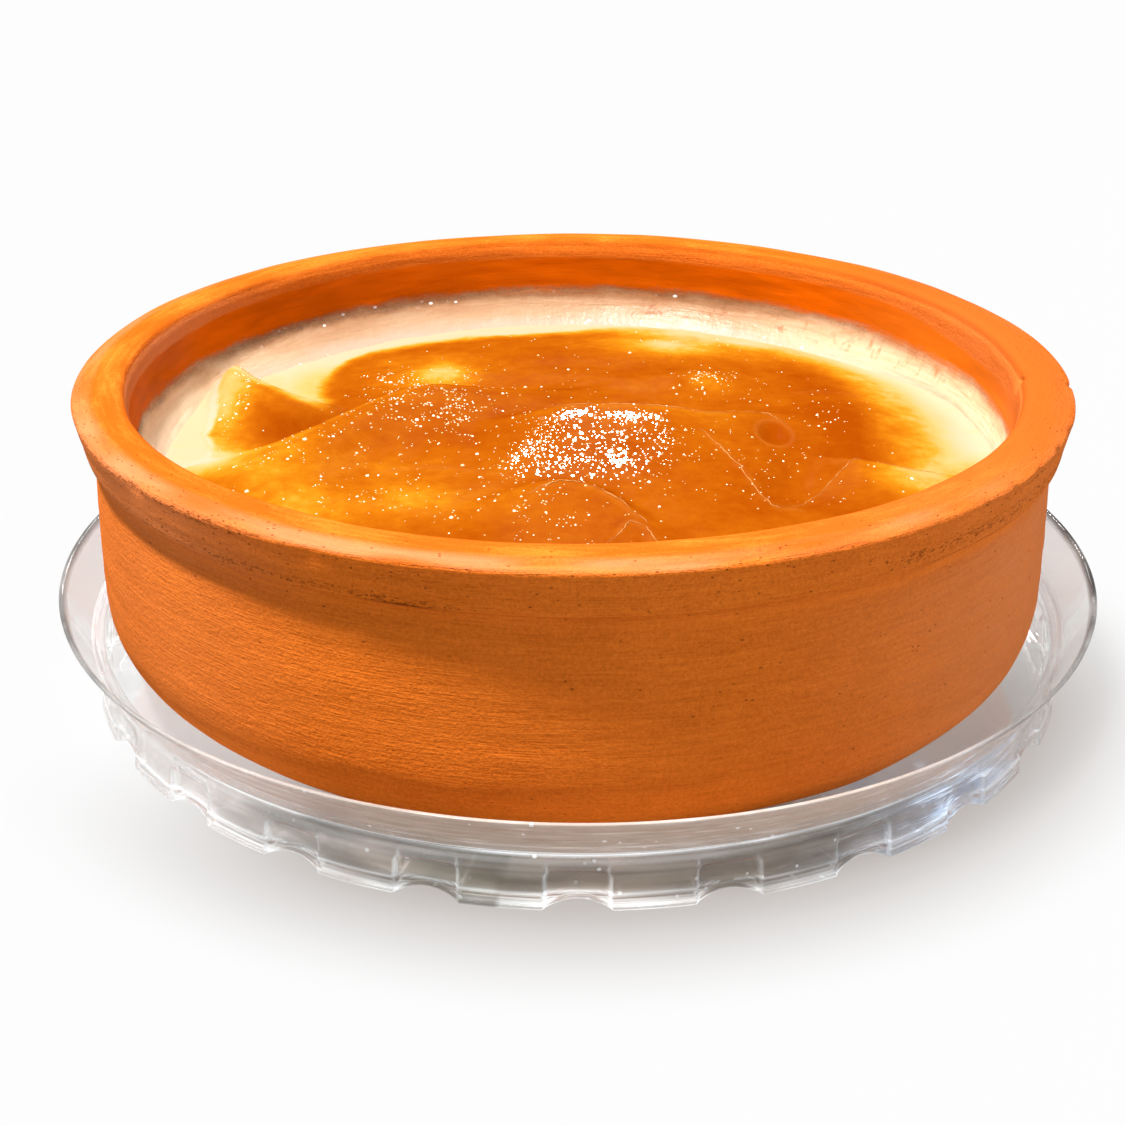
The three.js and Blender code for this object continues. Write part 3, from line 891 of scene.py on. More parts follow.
def bowl_outline():
    """The bowl's section as (radius, height) from the middle of its base, up its outside, over the
    rim and down inside to the middle of its floor. The belly is BASE_R plus a swell that is one less
    a power of the height left; the wall bows out a little; the inside corner is an arc."""
    t = np.linspace(0, 1, 60) ** 1.6
    belly = np.stack([BASE_R + (BELLY_R - BASE_R) * (1 - (1 - t) ** BELLY_FULLNESS),
                      BASE_Z + (BELLY_Z - BASE_Z) * t], 1)
    t = np.linspace(0, 1, 30)
    wall = np.stack([BELLY_R + (NECK_R - BELLY_R) * t + 4 * WALL_SWELL * t * (1 - t),
                     BELLY_Z + (NECK_Z - BELLY_Z) * t], 1)
    rim = np.array([
        (BAND_LOW_R, BAND_LOW_Z), (RIM_R, RIM_Z - RIM_ROUND), (RIM_R - RIM_ROUND, RIM_Z),
        ((RIM_R + CROWN_R) / 2, SHOULDER_Z), (CROWN_R, CROWN_Z),
        (CROWN_R - CROWN_WIDTH, CROWN_Z - CROWN_FALL), (LIP_R, LIP_Z),
        (wall_radius(MARGIN_Z), MARGIN_Z),
    ])
    angle = np.linspace(0, math.pi / 2, 20)
    corner_top = FLOOR_Z + CORNER_R
    corner = np.stack([wall_radius(corner_top) - CORNER_R * (1 - np.cos(angle)),
                       corner_top - CORNER_R * np.sin(angle)], 1)
    return np.concatenate([[(0, BASE_Z)], belly, wall[1:], rim, corner, [(0, FLOOR_Z)]])


def even_outline(outline, step_at, rounding):
    """The outline in steps of the asked length, its corners rounded by averaging along it."""
    length = np.concatenate([[0], np.cumsum(np.hypot(*np.diff(outline, axis=0).T))])
    fine = np.arange(0, length[-1], OUTLINE_STEP)
    points = np.stack([np.interp(fine, length, outline[:, axis]) for axis in (0, 1)], 1)
    reach = int(3 * rounding / OUTLINE_STEP)
    weights = np.exp(-0.5 * (np.arange(-reach, reach + 1) * OUTLINE_STEP / rounding) ** 2)
    weights /= weights.sum()
    inner = slice(reach, len(fine) - reach)
    for axis in (0, 1):
        points[inner, axis] = np.convolve(points[:, axis], weights, "valid")
    count = np.concatenate([[0], np.cumsum(OUTLINE_STEP / step_at(points[:-1]))])
    share = np.linspace(0, count[-1], int(count[-1]))
    even = np.stack([np.interp(share, count, points[:, axis]) for axis in (0, 1)], 1)
    return even, np.interp(share, count, fine)


# Knocks of the clay: angle in degrees, place along the radius, half-lengths along the rim and
# across it, depth.
KNOCKS = (
    (-5, 54.0, 1.6, 1.3, 0.55),
    (-6.5, 60.0, 0.9, 0.9, 0.5),
    (-21, 60.0, 1.4, 0.8, 0.35),
    (-27, 60.0, 0.9, 0.7, 0.4),
    (-33, 60.0, 1.6, 0.8, 0.3),
    (-39, 60.0, 0.8, 0.7, 0.35),
    (-44.5, 60.0, 1.8, 0.8, 0.3),
    (-52, 60.0, 1.0, 0.6, 0.25),
    (-115, 60.0, 1.2, 0.6, 0.2),
    (-140, 60.0, 1.2, 0.7, 0.25),
)


def bowl_relief(angle, radius, height, along):
    """How far the clay stands off its true outline: slow waves round it and up it, fine throwing
    rings, and knocks out of the rim's edges."""
    turn = angle / (2 * math.pi)
    waves = 0.08 * clouds(turn * 32, along / 7, 1.0, 3, 32)
    rings = 0.045 * clouds(turn * 16, along / 1.6, 1.0, 4, 16)
    grooves = 0.03 * clouds(turn * 64, along / 0.9, 1.0, 5, 64)
    relief = waves + (rings + grooves) * smooth(radius, 40, 46)
    on_rim = smooth(height, NECK_Z, NECK_Z + 2)
    for degrees, place, length, width, depth in KNOCKS:
        off = (angle - math.radians(degrees) + math.pi) % (2 * math.pi) - math.pi
        knock = np.exp(-((off * RIM_R / length) ** 2) - ((radius - place) / width) ** 2)
        knock = knock * np.exp(-((height - RIM_Z + 0.2) / 1.2) ** 2)
        relief = relief - depth * knock * on_rim * (1 + 0.5 * clouds(off * RIM_R, along, 0.5, 6))
    return relief


# Crumbly stretches of the band: from and to in degrees, height, half-height, strength.
CRUMBLY = (
    (-178, -118, 37.2, 0.55, 1.0),
    (-172, -100, 33.2, 0.6, 0.75),
    (-112, -96, 32.8, 0.35, 1.2),
    (-62, -12, 34.2, 1.0, 0.9),
    (-48, -8, 36.7, 0.5, 0.6),
    (-20, -2, 35.3, 1.6, 0.7),
)
# Stretches of the band's lower edge where a crack is painted as a dark line with its shade: from and to in
# degrees, strength.
CRACK_SHADE_STRETCHES = (
    (-115, -97, 0.8),
    (-62, -10, 0.45),
)


def clay_zones(angle, radius, height):
    """Where the clay is crumbly, where a crack with its shade is painted, where it is the rim's flat top,
    where pale dust with painted sheen lies on it and where painted light makes its glaze lighter: each is
    0 to about 1 and fades at its ends."""
    degrees = np.degrees((angle + math.pi) % (2 * math.pi) - math.pi)
    outside = radius > CROWN_R

    def stretch(low, high):
        return smooth(degrees, low, low + 8) * smooth(-degrees, -high, -high + 8)

    crumbly = sum(
        strength * stretch(low, high) * np.exp(-((height - middle) / half) ** 2) * outside
        for low, high, middle, half, strength in CRUMBLY
    )
    cracked = sum(strength * stretch(low, high) for low, high, strength in CRACK_SHADE_STRETCHES)
    top = smooth(height, RIM_Z - 0.4, RIM_Z)
    front_left = smooth(np.cos(angle + math.radians(130)), -0.1, 0.7)
    # Painted highlight: a pale sheen on the rim's outer shoulder, strongest at the front left.
    shoulder_sheen = smooth(radius, 57.2, 58.6) * top * (0.35 + 0.65 * front_left)
    patches = 0.5 + 0.5 * clouds(angle * 9, radius / 1.5, 1.0, 9)
    right = smooth(degrees, -75, -25) * smooth(-degrees, -60, 0)
    left = smooth(np.cos(angle + math.radians(168)), 0.55, 0.95)
    body = smooth(-height, -NECK_Z, -NECK_Z + 3)
    # Pale dust mixed with painted sheen on the right of the body and on the band at the left.
    body_dust_and_sheen = 0.5 * right + 0.17 * left
    band_dust_and_sheen = 0.2 * right + 0.5 * left * (1 - top)
    bloom = 0.8 * shoulder_sheen * patches + body * body_dust_and_sheen + band_dust_and_sheen * (1 - body)
    lit_glaze = 0.5 * smooth(np.cos(angle - math.radians(8)), 0.75, 0.98)
    return {
        "crumbly": crumbly,
        "cracked": cracked * outside,
        "top": top,
        "bloom": bloom * (1 - 0.6 * top * right),
        "ruddy": top * smooth(degrees, -62, -20) * smooth(-degrees, -75, -35),
        "lit_glaze": lit_glaze,
    }


class PUDDING_OT_bowl(bpy.types.Operator):
    """Add the terracotta bowl, a turned outline with the potter's rings and knocks in it."""

    bl_idname = "pudding.bowl"
    bl_label = "Terracotta bowl"

    def execute(self, context):
        look = context.scene.bowl_look
        step = look.step / MM

        def step_at(points):
            hidden = (points[:, 0] < BASE_R) | ((points[:, 1] < MARGIN_Z - 1.5) & (points[:, 0] < LIP_R))
            on_rim = points[:, 1] > NECK_Z - 0.5
            return np.where(hidden, 5 * step, np.where(on_rim, 0.55 * step, step))

        outline, along = even_outline(bowl_outline(), step_at, CORNER_BLUR)
        outline, along = outline[1:-1], along[1:-1]
        tangent = np.gradient(outline, axis=0)
        tangent /= np.hypot(*tangent.T)[:, None]
        angle = np.linspace(0, 2 * math.pi, look.around, endpoint=False)
        ring, turn = np.meshgrid(np.arange(len(outline)), angle, indexing="ij")
        radius, height, length = outline[ring, 0], outline[ring, 1], along[ring]
        off = bowl_relief(turn, radius, height, length)
        radius_now = radius + off * tangent[ring, 1]
        height_now = np.minimum(height - off * tangent[ring, 0], CROWN_Z)
        x = AXIS_X + radius_now * np.cos(turn)
        y = radius_now * np.sin(turn)
        rows = np.stack([x, y, height_now], -1).reshape(-1, 3)
        points = np.concatenate([[(AXIS_X, 0, BASE_Z)], rows, [(AXIS_X, 0, FLOOR_Z)]])
        inside = (length > along[np.argmax(outline[:, 1])]) & (radius < CROWN_R)
        line = GLAZE_TOP_Z + 0.25 * clouds(turn / (2 * math.pi) * 24, length * 0, 1.0, 8, 24)
        line = line - GLAZE_DIP * smooth(np.cos(turn - math.radians(GLAZE_DIP_DEG)), 0.86, 0.99)
        glaze = np.where(inside, 0.5 + np.clip((line - height) * 0.8, -0.5, 0.5), 0)
        band = smooth(height, NECK_Z - 0.5, BAND_LOW_Z) * np.where(radius > CROWN_R + 2.5, 1.0, 0.35)
        band = np.where(inside, -0.5, 0.12 + 0.88 * band)

        def with_poles(value):
            return np.concatenate([[0], value.ravel(), [0]])

        turned = np.stack([with_poles(v) for v in (x, y, length)], -1)
        zones = {"glaze": glaze, "band": band, **clay_zones(turn, radius, height)}
        corner = (outline[:, 0] > BAND_LOW_R - 1) & (outline[:, 1] > BAND_LOW_Z)
        ledge = along[np.argmax(corner)]
        add_piece(
            "terracotta_bowl", points, skin_faces(len(outline), look.around),
            terracotta(look, float(ledge)), "bowl",
            {name: with_poles(zone) for name, zone in zones.items()}, {"turned": turned},
        )
        return {"FINISHED"}


# ---- the pudding

def ridge(x, y, from_x, to_x, places, heights, back, front):
    """A ridge that runs from left to right. Its crest and height are smooth curves over x, and it
    falls off as exp of minus the squared distance from the crest."""
    share = (x - from_x) / (to_x - from_x)
    before = through(places, share) - y
    height = through(heights, share) * ((share > 0) & (share < 1))
    return height * np.exp(-((before / np.where(before < 0, back, front)) ** 2))


def wrinkle_field(x, y):
    """Thin raised lines of the skin: each is its height times exp of minus the squared distance in
    half-widths, fading at both ends, with a waver along it."""
    height = np.zeros(x.shape)
    for number, (tall, width, places) in enumerate(WRINKLES):
        waver = 0.3 * clouds(x, y, 1.7, 20 + number) + 0.12 * clouds(x, y, 0.6, 60 + number)
        away, along = distance_to(x + waver, y + waver, curve(places, 8 * (len(places) - 1)))
        width = 1.6 * width
        fade = smooth(along, 0, 0.12) * smooth(1 - along, 0, 0.12)
        strength = 0.75 + 0.35 * clouds(along * 40, 0 * along, 1.0, 40 + number)
        height = np.maximum(height, 0.5 * tall * strength * fade * np.exp(-((away / width) ** 2)))
    return height


def ring_distance(x, y):
    """How far a place is from the middle of the burst bubble, as a share of its oval's radius."""
    return np.hypot((x - RING_X) / RING_ALONG, (y - RING_Y) / RING_ACROSS)


def main_relief(x, y):
    """The pudding's top without its finest relief: a low dome, ridges, swells and the peak."""
    rise = PUFF_HEIGHT * np.maximum(0, 1 - ((x - PUFF_X) ** 2 + (y - PUFF_Y) ** 2) / PUFF_REACH ** 2)
    for one in RIDGES:
        rise = rise + ridge(x, y, *one)
    for *oval, height in SWELLS:
        rise = rise + height * swell(x, y, *oval)
    edge = wall_radius(MARGIN_Z)
    calm = 1 - smooth(np.hypot(x, y), edge - CALM_BAND, edge)
    return MARGIN_Z + rise * calm + ridge(x, y, *PEAK) * np.sqrt(calm)


def pudding_top(x, y):
    """The pudding's top: the main relief with wrinkles, the burst bubble's rim, soft lumps of rice
    and milk, and a rise where the cream clings to the wall."""
    edge = wall_radius(MARGIN_Z)
    away = np.hypot(x, y)
    lumps = 0.07 * clouds(x, y, 4.3, 11) + 0.025 * clouds(x, y, 1.9, 12)
    pebbles = 0.012 * clouds(x, y, 0.8, 13)
    rim = RING_HEIGHT * np.exp(-(((ring_distance(x, y) - 1) / RING_WIDTH) ** 2))
    inside_ring = 1 - smooth(ring_distance(x, y), 0.7, 1.0)
    cling = 1.1 * np.exp(-(edge - away) / 0.7)
    return (main_relief(x, y) + wrinkle_field(x, y) + rim + cling
            + (lumps + pebbles) * (1 - inside_ring) * (1 - smooth(away, edge - 3, edge)))


def fold_shading(x, y):
    """Painted shade in the hollows behind the ridges' crests and painted light along them, by each crest's
    height.
    """
    tone = np.zeros(x.shape)
    for from_x, to_x, places, heights, _, _ in (*RIDGES, PEAK):
        share = (x - from_x) / (to_x - from_x)
        before = through(places, share) - y + 0.3 * clouds(x, y, 1.6, 36)
        height = through(heights, share) * ((share > 0) & (share < 1))
        hollow = np.exp(-(((before + 1.5) / 1.3) ** 2))
        crest = np.exp(-(((before - 0.5) / 0.9) ** 2)) + 0.5 * np.exp(-(((before - 3) / 2.5) ** 2))
        tone = tone + height * (HOLLOW_SHADE * hollow - CREST_LIGHT * crest)
    return tone


def browning_and_fold_shading(x, y):
    """How far the skin browned, from 0 to 1, with the folds' painted shade and light added: a smooth step
    across the skin's edge, softer at the right and the back, with paler and darker ovals and clouds in it."""
    edge = curve(SKIN_EDGE, 12 * len(SKIN_EDGE), closed=True)
    away, _ = distance_to(x, y, edge, closed=True)
    depth = np.where(inside_outline(x, y, edge), away, -away)
    depth = depth + 0.5 * clouds(x, y, 3.1, 31) + 0.25 * clouds(x, y, 1.1, 32)
    soft = 0.8 + 1.6 * smooth(x, -42, -12) + 2.6 * smooth(x, 25, 42)
    soft = soft + 1.6 * smooth(y, 18, 36) * smooth(x, -5, 14)
    halo = HALO * (1 - smooth(y, 20, 34)) * (1 - 0.8 * smooth(-x, 38, 46))
    brown = (0.8 - halo) * smooth(depth, -soft, 1.6 * soft) + halo * smooth(depth, -9, -1)
    for *oval, amount in BROWNING:
        brown = brown + amount * swell(x, y, *oval) * smooth(brown, 0, 0.4)
    # Painted shade and light of the folds.
    brown = brown + fold_shading(x, y) * smooth(brown, 0.05, 0.5)
    return np.clip(brown, 0, 1)


def wetness(x, y):
    """How wet the skin is, from 0 to 1: full inside the wettest patch, a little elsewhere."""
    edge = curve(WET_EDGE, 10 * len(WET_EDGE), closed=True)
    away, _ = distance_to(x, y, edge, closed=True)
    depth = np.where(inside_outline(x, y, edge), away, -away)
    return np.clip(smooth(depth + 0.8 * clouds(x, y, 1.3, 33), -1, 0.8), 0, 1)


class PUDDING_OT_pudding(bpy.types.Operator):
    """Add the pudding, one closed body under a folded, browned skin."""

    bl_idname = "pudding.pudding"
    bl_label = "Baked pudding"

    def execute(self, context):
        look = context.scene.pudding_look
        angle = np.linspace(0, 2 * math.pi, look.around, endpoint=False)
        edge = wall_radius(MARGIN_Z) - 0.06
        share = np.linspace(1, 0, look.rings, endpoint=False)
        radius, turn = np.meshgrid(edge * share, angle, indexing="ij")
        x, y = radius * np.cos(turn), radius * np.sin(turn)
        top = np.stack([x + AXIS_X, y, pudding_top(x, y)], -1).reshape(-1, 3)
        bend = np.linspace(0, math.pi / 2, 5)
        corner_top = FLOOR_Z + CORNER_R
        low_r = wall_radius(corner_top) - GAP - CORNER_R * (1 - np.sin(bend))
        low_z = corner_top + GAP - CORNER_R * np.cos(bend)
        under = np.stack([
            AXIS_X + low_r[:, None] * np.cos(angle),
            low_r[:, None] * np.sin(angle),
            np.broadcast_to(low_z[:, None], (len(bend), look.around)),
        ], -1).reshape(-1, 3)
        centre = pudding_top(np.zeros(1), np.zeros(1))[0]
        points = np.concatenate([[(AXIS_X, 0, low_z[0])], under, top, [(AXIS_X, 0, centre)]])
        flat_x, flat_y = points[:, 0] - AXIS_X, points[:, 1]
        rim = np.exp(-(((ring_distance(flat_x, flat_y) - 1) / RING_WIDTH) ** 2))
        crest = np.clip(wrinkle_field(flat_x, flat_y) / 0.3 + rim * 0.5, 0, 1)
        rings = len(bend) + look.rings
        add_piece(
            "baked_pudding", points, skin_faces(rings, look.around), baked_skin(look),
            "pudding", {"brown": browning_and_fold_shading(flat_x, flat_y), "crest": crest,
                        "wet": wetness(flat_x, flat_y), "back": smooth(flat_y, 22, 38)},
        )
        return {"FINISHED"}


class PUDDING_OT_film(bpy.types.Operator):
    """Add the film of dried milk on the wall above the pudding."""

    bl_idname = "pudding.film"
    bl_label = "Dried milk film"

    def execute(self, context):
        look = context.scene.pudding_look
        top = look.film_top / MM
        around, steps = 720, 14
        angle = np.linspace(0, 2 * math.pi, around, endpoint=False)
        ragged = 0.35 * clouds(angle / (2 * math.pi) * 20, 0 * angle, 1.0, 51, 20)
        ragged = ragged + 0.14 * clouds(angle / (2 * math.pi) * 110, 0 * angle, 1.0, 52, 110)
        share = np.linspace(0, 1, steps)
        section = np.concatenate([share, share[::-1]])
        inner = np.concatenate([np.ones(steps), np.zeros(steps)])
        low = MARGIN_Z - 1.2
        part, turn = np.meshgrid(np.arange(2 * steps), angle, indexing="ij")
        s = section[part]
        z = low + (top + ragged[None, :] - low) * s
        heaped = 1.2 + 0.7 * clouds(turn / (2 * math.pi) * 24, 0 * z, 1.0, 54, 24)
        heaped = heaped + 1.8 * smooth(-np.cos(turn - math.radians(-12)), 0.75, 0.97)
        heaped = heaped + 4.2 * smooth(np.sin(turn), 0.3, 0.8)
        thick = look.film_thickness / MM * (1 - 0.9 * s) + heaped * (1 - s) ** 2.2
        lumps = 0.08 * clouds(turn / (2 * math.pi) * 160, z / 2.5, 1.0, 53, 160) * (1 - s) ** 0.5
        radius = wall_radius(z) - 0.03 - inner[part] * (thick + lumps)
        x, y = radius * np.cos(turn), radius * np.sin(turn)
        points = np.stack([x + AXIS_X, y, z], -1).reshape(-1, 3)
        height_share = ((z - MARGIN_Z) / (top - MARGIN_Z)).ravel()
        right = smooth(np.cos(turn - math.radians(35)), 0.2, 0.8).ravel()
        back = smooth(np.sin(turn), 0.15, 0.75) * (1 - 0.5 * smooth(np.cos(turn), 0.4, 0.8))
        faces = [face[::-1] for face in loop_faces(2 * steps, around)]
        add_piece(
            "milk_film", points, faces, dried_milk(look), None,
            {"share": height_share, "right": right, "back": back.ravel()},
            {"ring": np.stack([x, y, z], -1).reshape(-1, 3)},
        )
        return {"FINISHED"}


def domes(x, y, size, flatness, around=8, share=(1.0, 1.0, 0.78, 0.42)):
    """Closed caps on the skin, tilted as it tilts there: each is a disc of its size whose height is
    its size times the flatness times one less the squared distance from its middle."""
    turn = np.linspace(0, 2 * math.pi, around, endpoint=False)
    share = np.array(share)
    rise = flatness * (1 - share ** 2)
    rise[0] = -0.3
    rows = [np.stack([s * np.cos(turn), s * np.sin(turn), 0 * turn + h], 1) for s, h in zip(share, rise)]
    cap = np.concatenate([[(0, 0, -0.3)], *rows, [(0, 0, flatness)]])
    step = 0.2
    slope_x = (main_relief(x + step, y) - main_relief(x - step, y)) / (2 * step)
    slope_y = (main_relief(x, y + step) - main_relief(x, y - step)) / (2 * step)
    points = cap[None, :, :] * size[:, None, None]
    lifted = points[:, :, 2] + slope_x[:, None] * points[:, :, 0] + slope_y[:, None] * points[:, :, 1]
    base = np.stack([x + AXIS_X, y, pudding_top(x, y)], 1)
    points = np.stack([points[:, :, 0], points[:, :, 1], lifted], -1) + base[:, None, :]
    one = skin_faces(len(share), around)
    offsets = np.arange(len(x)) * len(cap)
    faces = [[corner + offset for corner in face] for offset in offsets for face in one]
    return points.reshape(-1, 3), faces


class PUDDING_OT_bubbles(bpy.types.Operator):
    """Scatter small bubbles over the skin, in clusters drawn with a fixed seed."""

    bl_idname = "pudding.bubbles"
    bl_label = "Skin bubbles"

    def execute(self, context):
        rng = np.random.default_rng(7)
        places = np.concatenate([
            rng.normal(middle, spread, (int(BUBBLE_SURPLUS * count), 2))
            for middle, spread, count in BUBBLE_CLUSTERS
        ])
        size = np.clip(rng.lognormal(math.log(0.098), 0.4, len(places)), 0.05, 0.3)
        tone = rng.uniform(0, 1, len(places)) ** 1.7
        x, y = places.T
        keep = (ring_distance(x, y) > 1.25) & (np.hypot(x, y) < wall_radius(MARGIN_Z) - 2)
        keep &= (browning_and_fold_shading(x, y) > 0.12) & (clouds(x, y, 1.3, 71) + 0.5 * clouds(x, y, 0.6, 72) > -0.15)
        points, faces = domes(x[keep], y[keep], size[keep], 0.6)
        tones = np.repeat(tone[keep], len(points) // keep.sum())
        add_piece("skin_bubbles", points, faces, bubble_glint_skin(), None, {"tone": tones})
        return {"FINISHED"}


class PUDDING_OT_beads(bpy.types.Operator):
    """Scatter flat beads of syrup over the wettest patch, drawn with a fixed seed."""

    bl_idname = "pudding.beads"
    bl_label = "Syrup beads"

    count: IntProperty(name="Count", description="How many are drawn", default=5200, min=1)

    def execute(self, context):
        rng = np.random.default_rng(11)
        edge = np.array(WET_EDGE, float)
        low, high = edge.min(0) - 2, edge.max(0) + 2
        x, y = rng.uniform(low, high, (self.count, 2)).T
        size = np.clip(rng.lognormal(math.log(0.27), 0.45, self.count), 0.1, 0.7)
        crowd = np.max([share * swell(x, y, *oval) for *oval, share in BEADED], 0)
        size = size * (0.65 + 0.6 * smooth(crowd, 0.3, 0.9))
        keep = rng.uniform(0, 1, self.count) < wetness(x, y) * crowd
        x, y, size = x[keep], y[keep], size[keep]
        room = 0.85 - 0.5 * smooth(crowd[keep], 0.5, 1.0)
        near = np.hypot(x[:, None] - x, y[:, None] - y) < room[:, None] * (size[:, None] + size)
        alone = ~np.tril(near, -1).any(1)
        points, faces = domes(x[alone], y[alone], size[alone], 0.07, 12, (1.0, 1.0, 0.82, 0.6, 0.3))
        add_piece("wet_beads", points, faces, syrup(context.scene.pudding_look))
        return {"FINISHED"}


class PUDDING_OT_creases(bpy.types.Operator):
    """Add the thin pale edges of the skin's wrinkles, as flat tubes that waver and taper."""

    bl_idname = "pudding.creases"
    bl_label = "Skin creases"

    def execute(self, context):
        around = 8
        turn = np.linspace(0, 2 * math.pi, around, endpoint=False)
        tubes = []
        faces = []
        first = 0
        for number, (tall, width, places) in enumerate(WRINKLES):
            if width > SHARPEST:
                continue
            line = curve(places, 26 * (len(places) - 1))
            share = np.linspace(0, 1, len(line))
            side = np.gradient(line, axis=0)[:, ::-1] * (-1, 1)
            side /= np.hypot(*side.T)[:, None]
            length = share * len(line) * 0.25
            waver = 0.28 * clouds(length, 0 * length, 1.6, 80 + number)
            waver = waver + 0.10 * clouds(length, 0 * length, 0.5, 90 + number)
            line = line + side * waver[:, None]
            breaks = smooth(clouds(length, 0 * length, 2.2, 100 + number), -0.6, 0.3)
            radius = CREASE_R * tall / CREASE_RISE * (0.1 + 0.9 * breaks)
            radius = radius * smooth(share, 0, 0.15) * smooth(1 - share, 0, 0.15)
            radius = radius * (1 + 0.4 * clouds(length, 0 * length, 0.8, 110 + number)) + 0.01
            across = np.cos(turn)[None, :] * radius[:, None]
            x = line[:, :1] + side[:, :1] * across
            y = line[:, 1:] + side[:, 1:] * across
            middle = pudding_top(line[:, 0], line[:, 1])
            z = middle[:, None] + 0.02 + 0.6 * np.sin(turn)[None, :] * radius[:, None]
            rows = np.stack([x + AXIS_X, y, z], -1).reshape(-1, 3)
            ends = [(line[i, 0] + AXIS_X, line[i, 1], middle[i]) for i in (0, -1)]
            tubes.append(np.concatenate([ends[:1], rows, ends[1:]]))
            faces += [[corner + first for corner in face] for face in skin_faces(len(line), around)]
            first += len(tubes[-1])
        add_piece("skin_creases", np.concatenate(tubes), faces, crease_highlight_skin())
        return {"FINISHED"}


# ---- the saucer

def saucer_section():
    """The shell's section from the tray's underside over the edge to the tray's top, as radius,
    height, share of the notch's depth and height in the middle of a notch."""
    skirt = PLASTIC / math.cos(math.atan2(SAUCER_R - STEP_R, SAUCER_Z - STEP_Z))
    step_in_r, step_in_z = STEP_R - STEP_IN, STEP_Z - STEP_DROP
    round_r, round_z = NOTCH_TOP_R - NOTCH_ROUND_LEAN, NOTCH_TOP_Z - NOTCH_ROUND
    return np.array([
        (FOOT_R - FOOT_WIDTH - 8, TRAY_Z, 0, TRAY_Z),
        (FOOT_R - FOOT_WIDTH, TRAY_Z, 1, TRAY_Z),
        (FOOT_R - FOOT_WIDTH, 0, 1, ARCH_Z),
        (FOOT_R, 0, 1, ARCH_Z),
        (round_r, round_z, 1, round_z),
        (NOTCH_TOP_R, NOTCH_TOP_Z, 0, NOTCH_TOP_Z),
        (step_in_r, step_in_z, 0, step_in_z),
        (STEP_R, STEP_Z, 0, STEP_Z),
        (SAUCER_R - EDGE_LEAN, SAUCER_Z - EDGE_DEPTH, 0, SAUCER_Z - EDGE_DEPTH),
        (SAUCER_R, SAUCER_Z, 0, SAUCER_Z),
        (SAUCER_R - EDGE_WIDTH, SAUCER_Z, 0, SAUCER_Z),
        (STEP_R - skirt, STEP_Z + INNER_LIFT, 0, STEP_Z + INNER_LIFT),
        (step_in_r - PLASTIC, step_in_z + INNER_LIFT, 0, step_in_z + INNER_LIFT),
        (NOTCH_TOP_R - PLASTIC, NOTCH_TOP_Z + INNER_LIFT, 0, NOTCH_TOP_Z + INNER_LIFT),
        (round_r - PLASTIC, round_z + INNER_LIFT, 1, round_z + INNER_LIFT),
        (FOOT_R + FOOT_LEAN - PLASTIC, TRAY_Z + PLASTIC, 1, TRAY_Z + PLASTIC),
        (FOOT_R - FOOT_WIDTH - 8, TRAY_Z + PLASTIC, 0, TRAY_Z + PLASTIC),
    ], float)


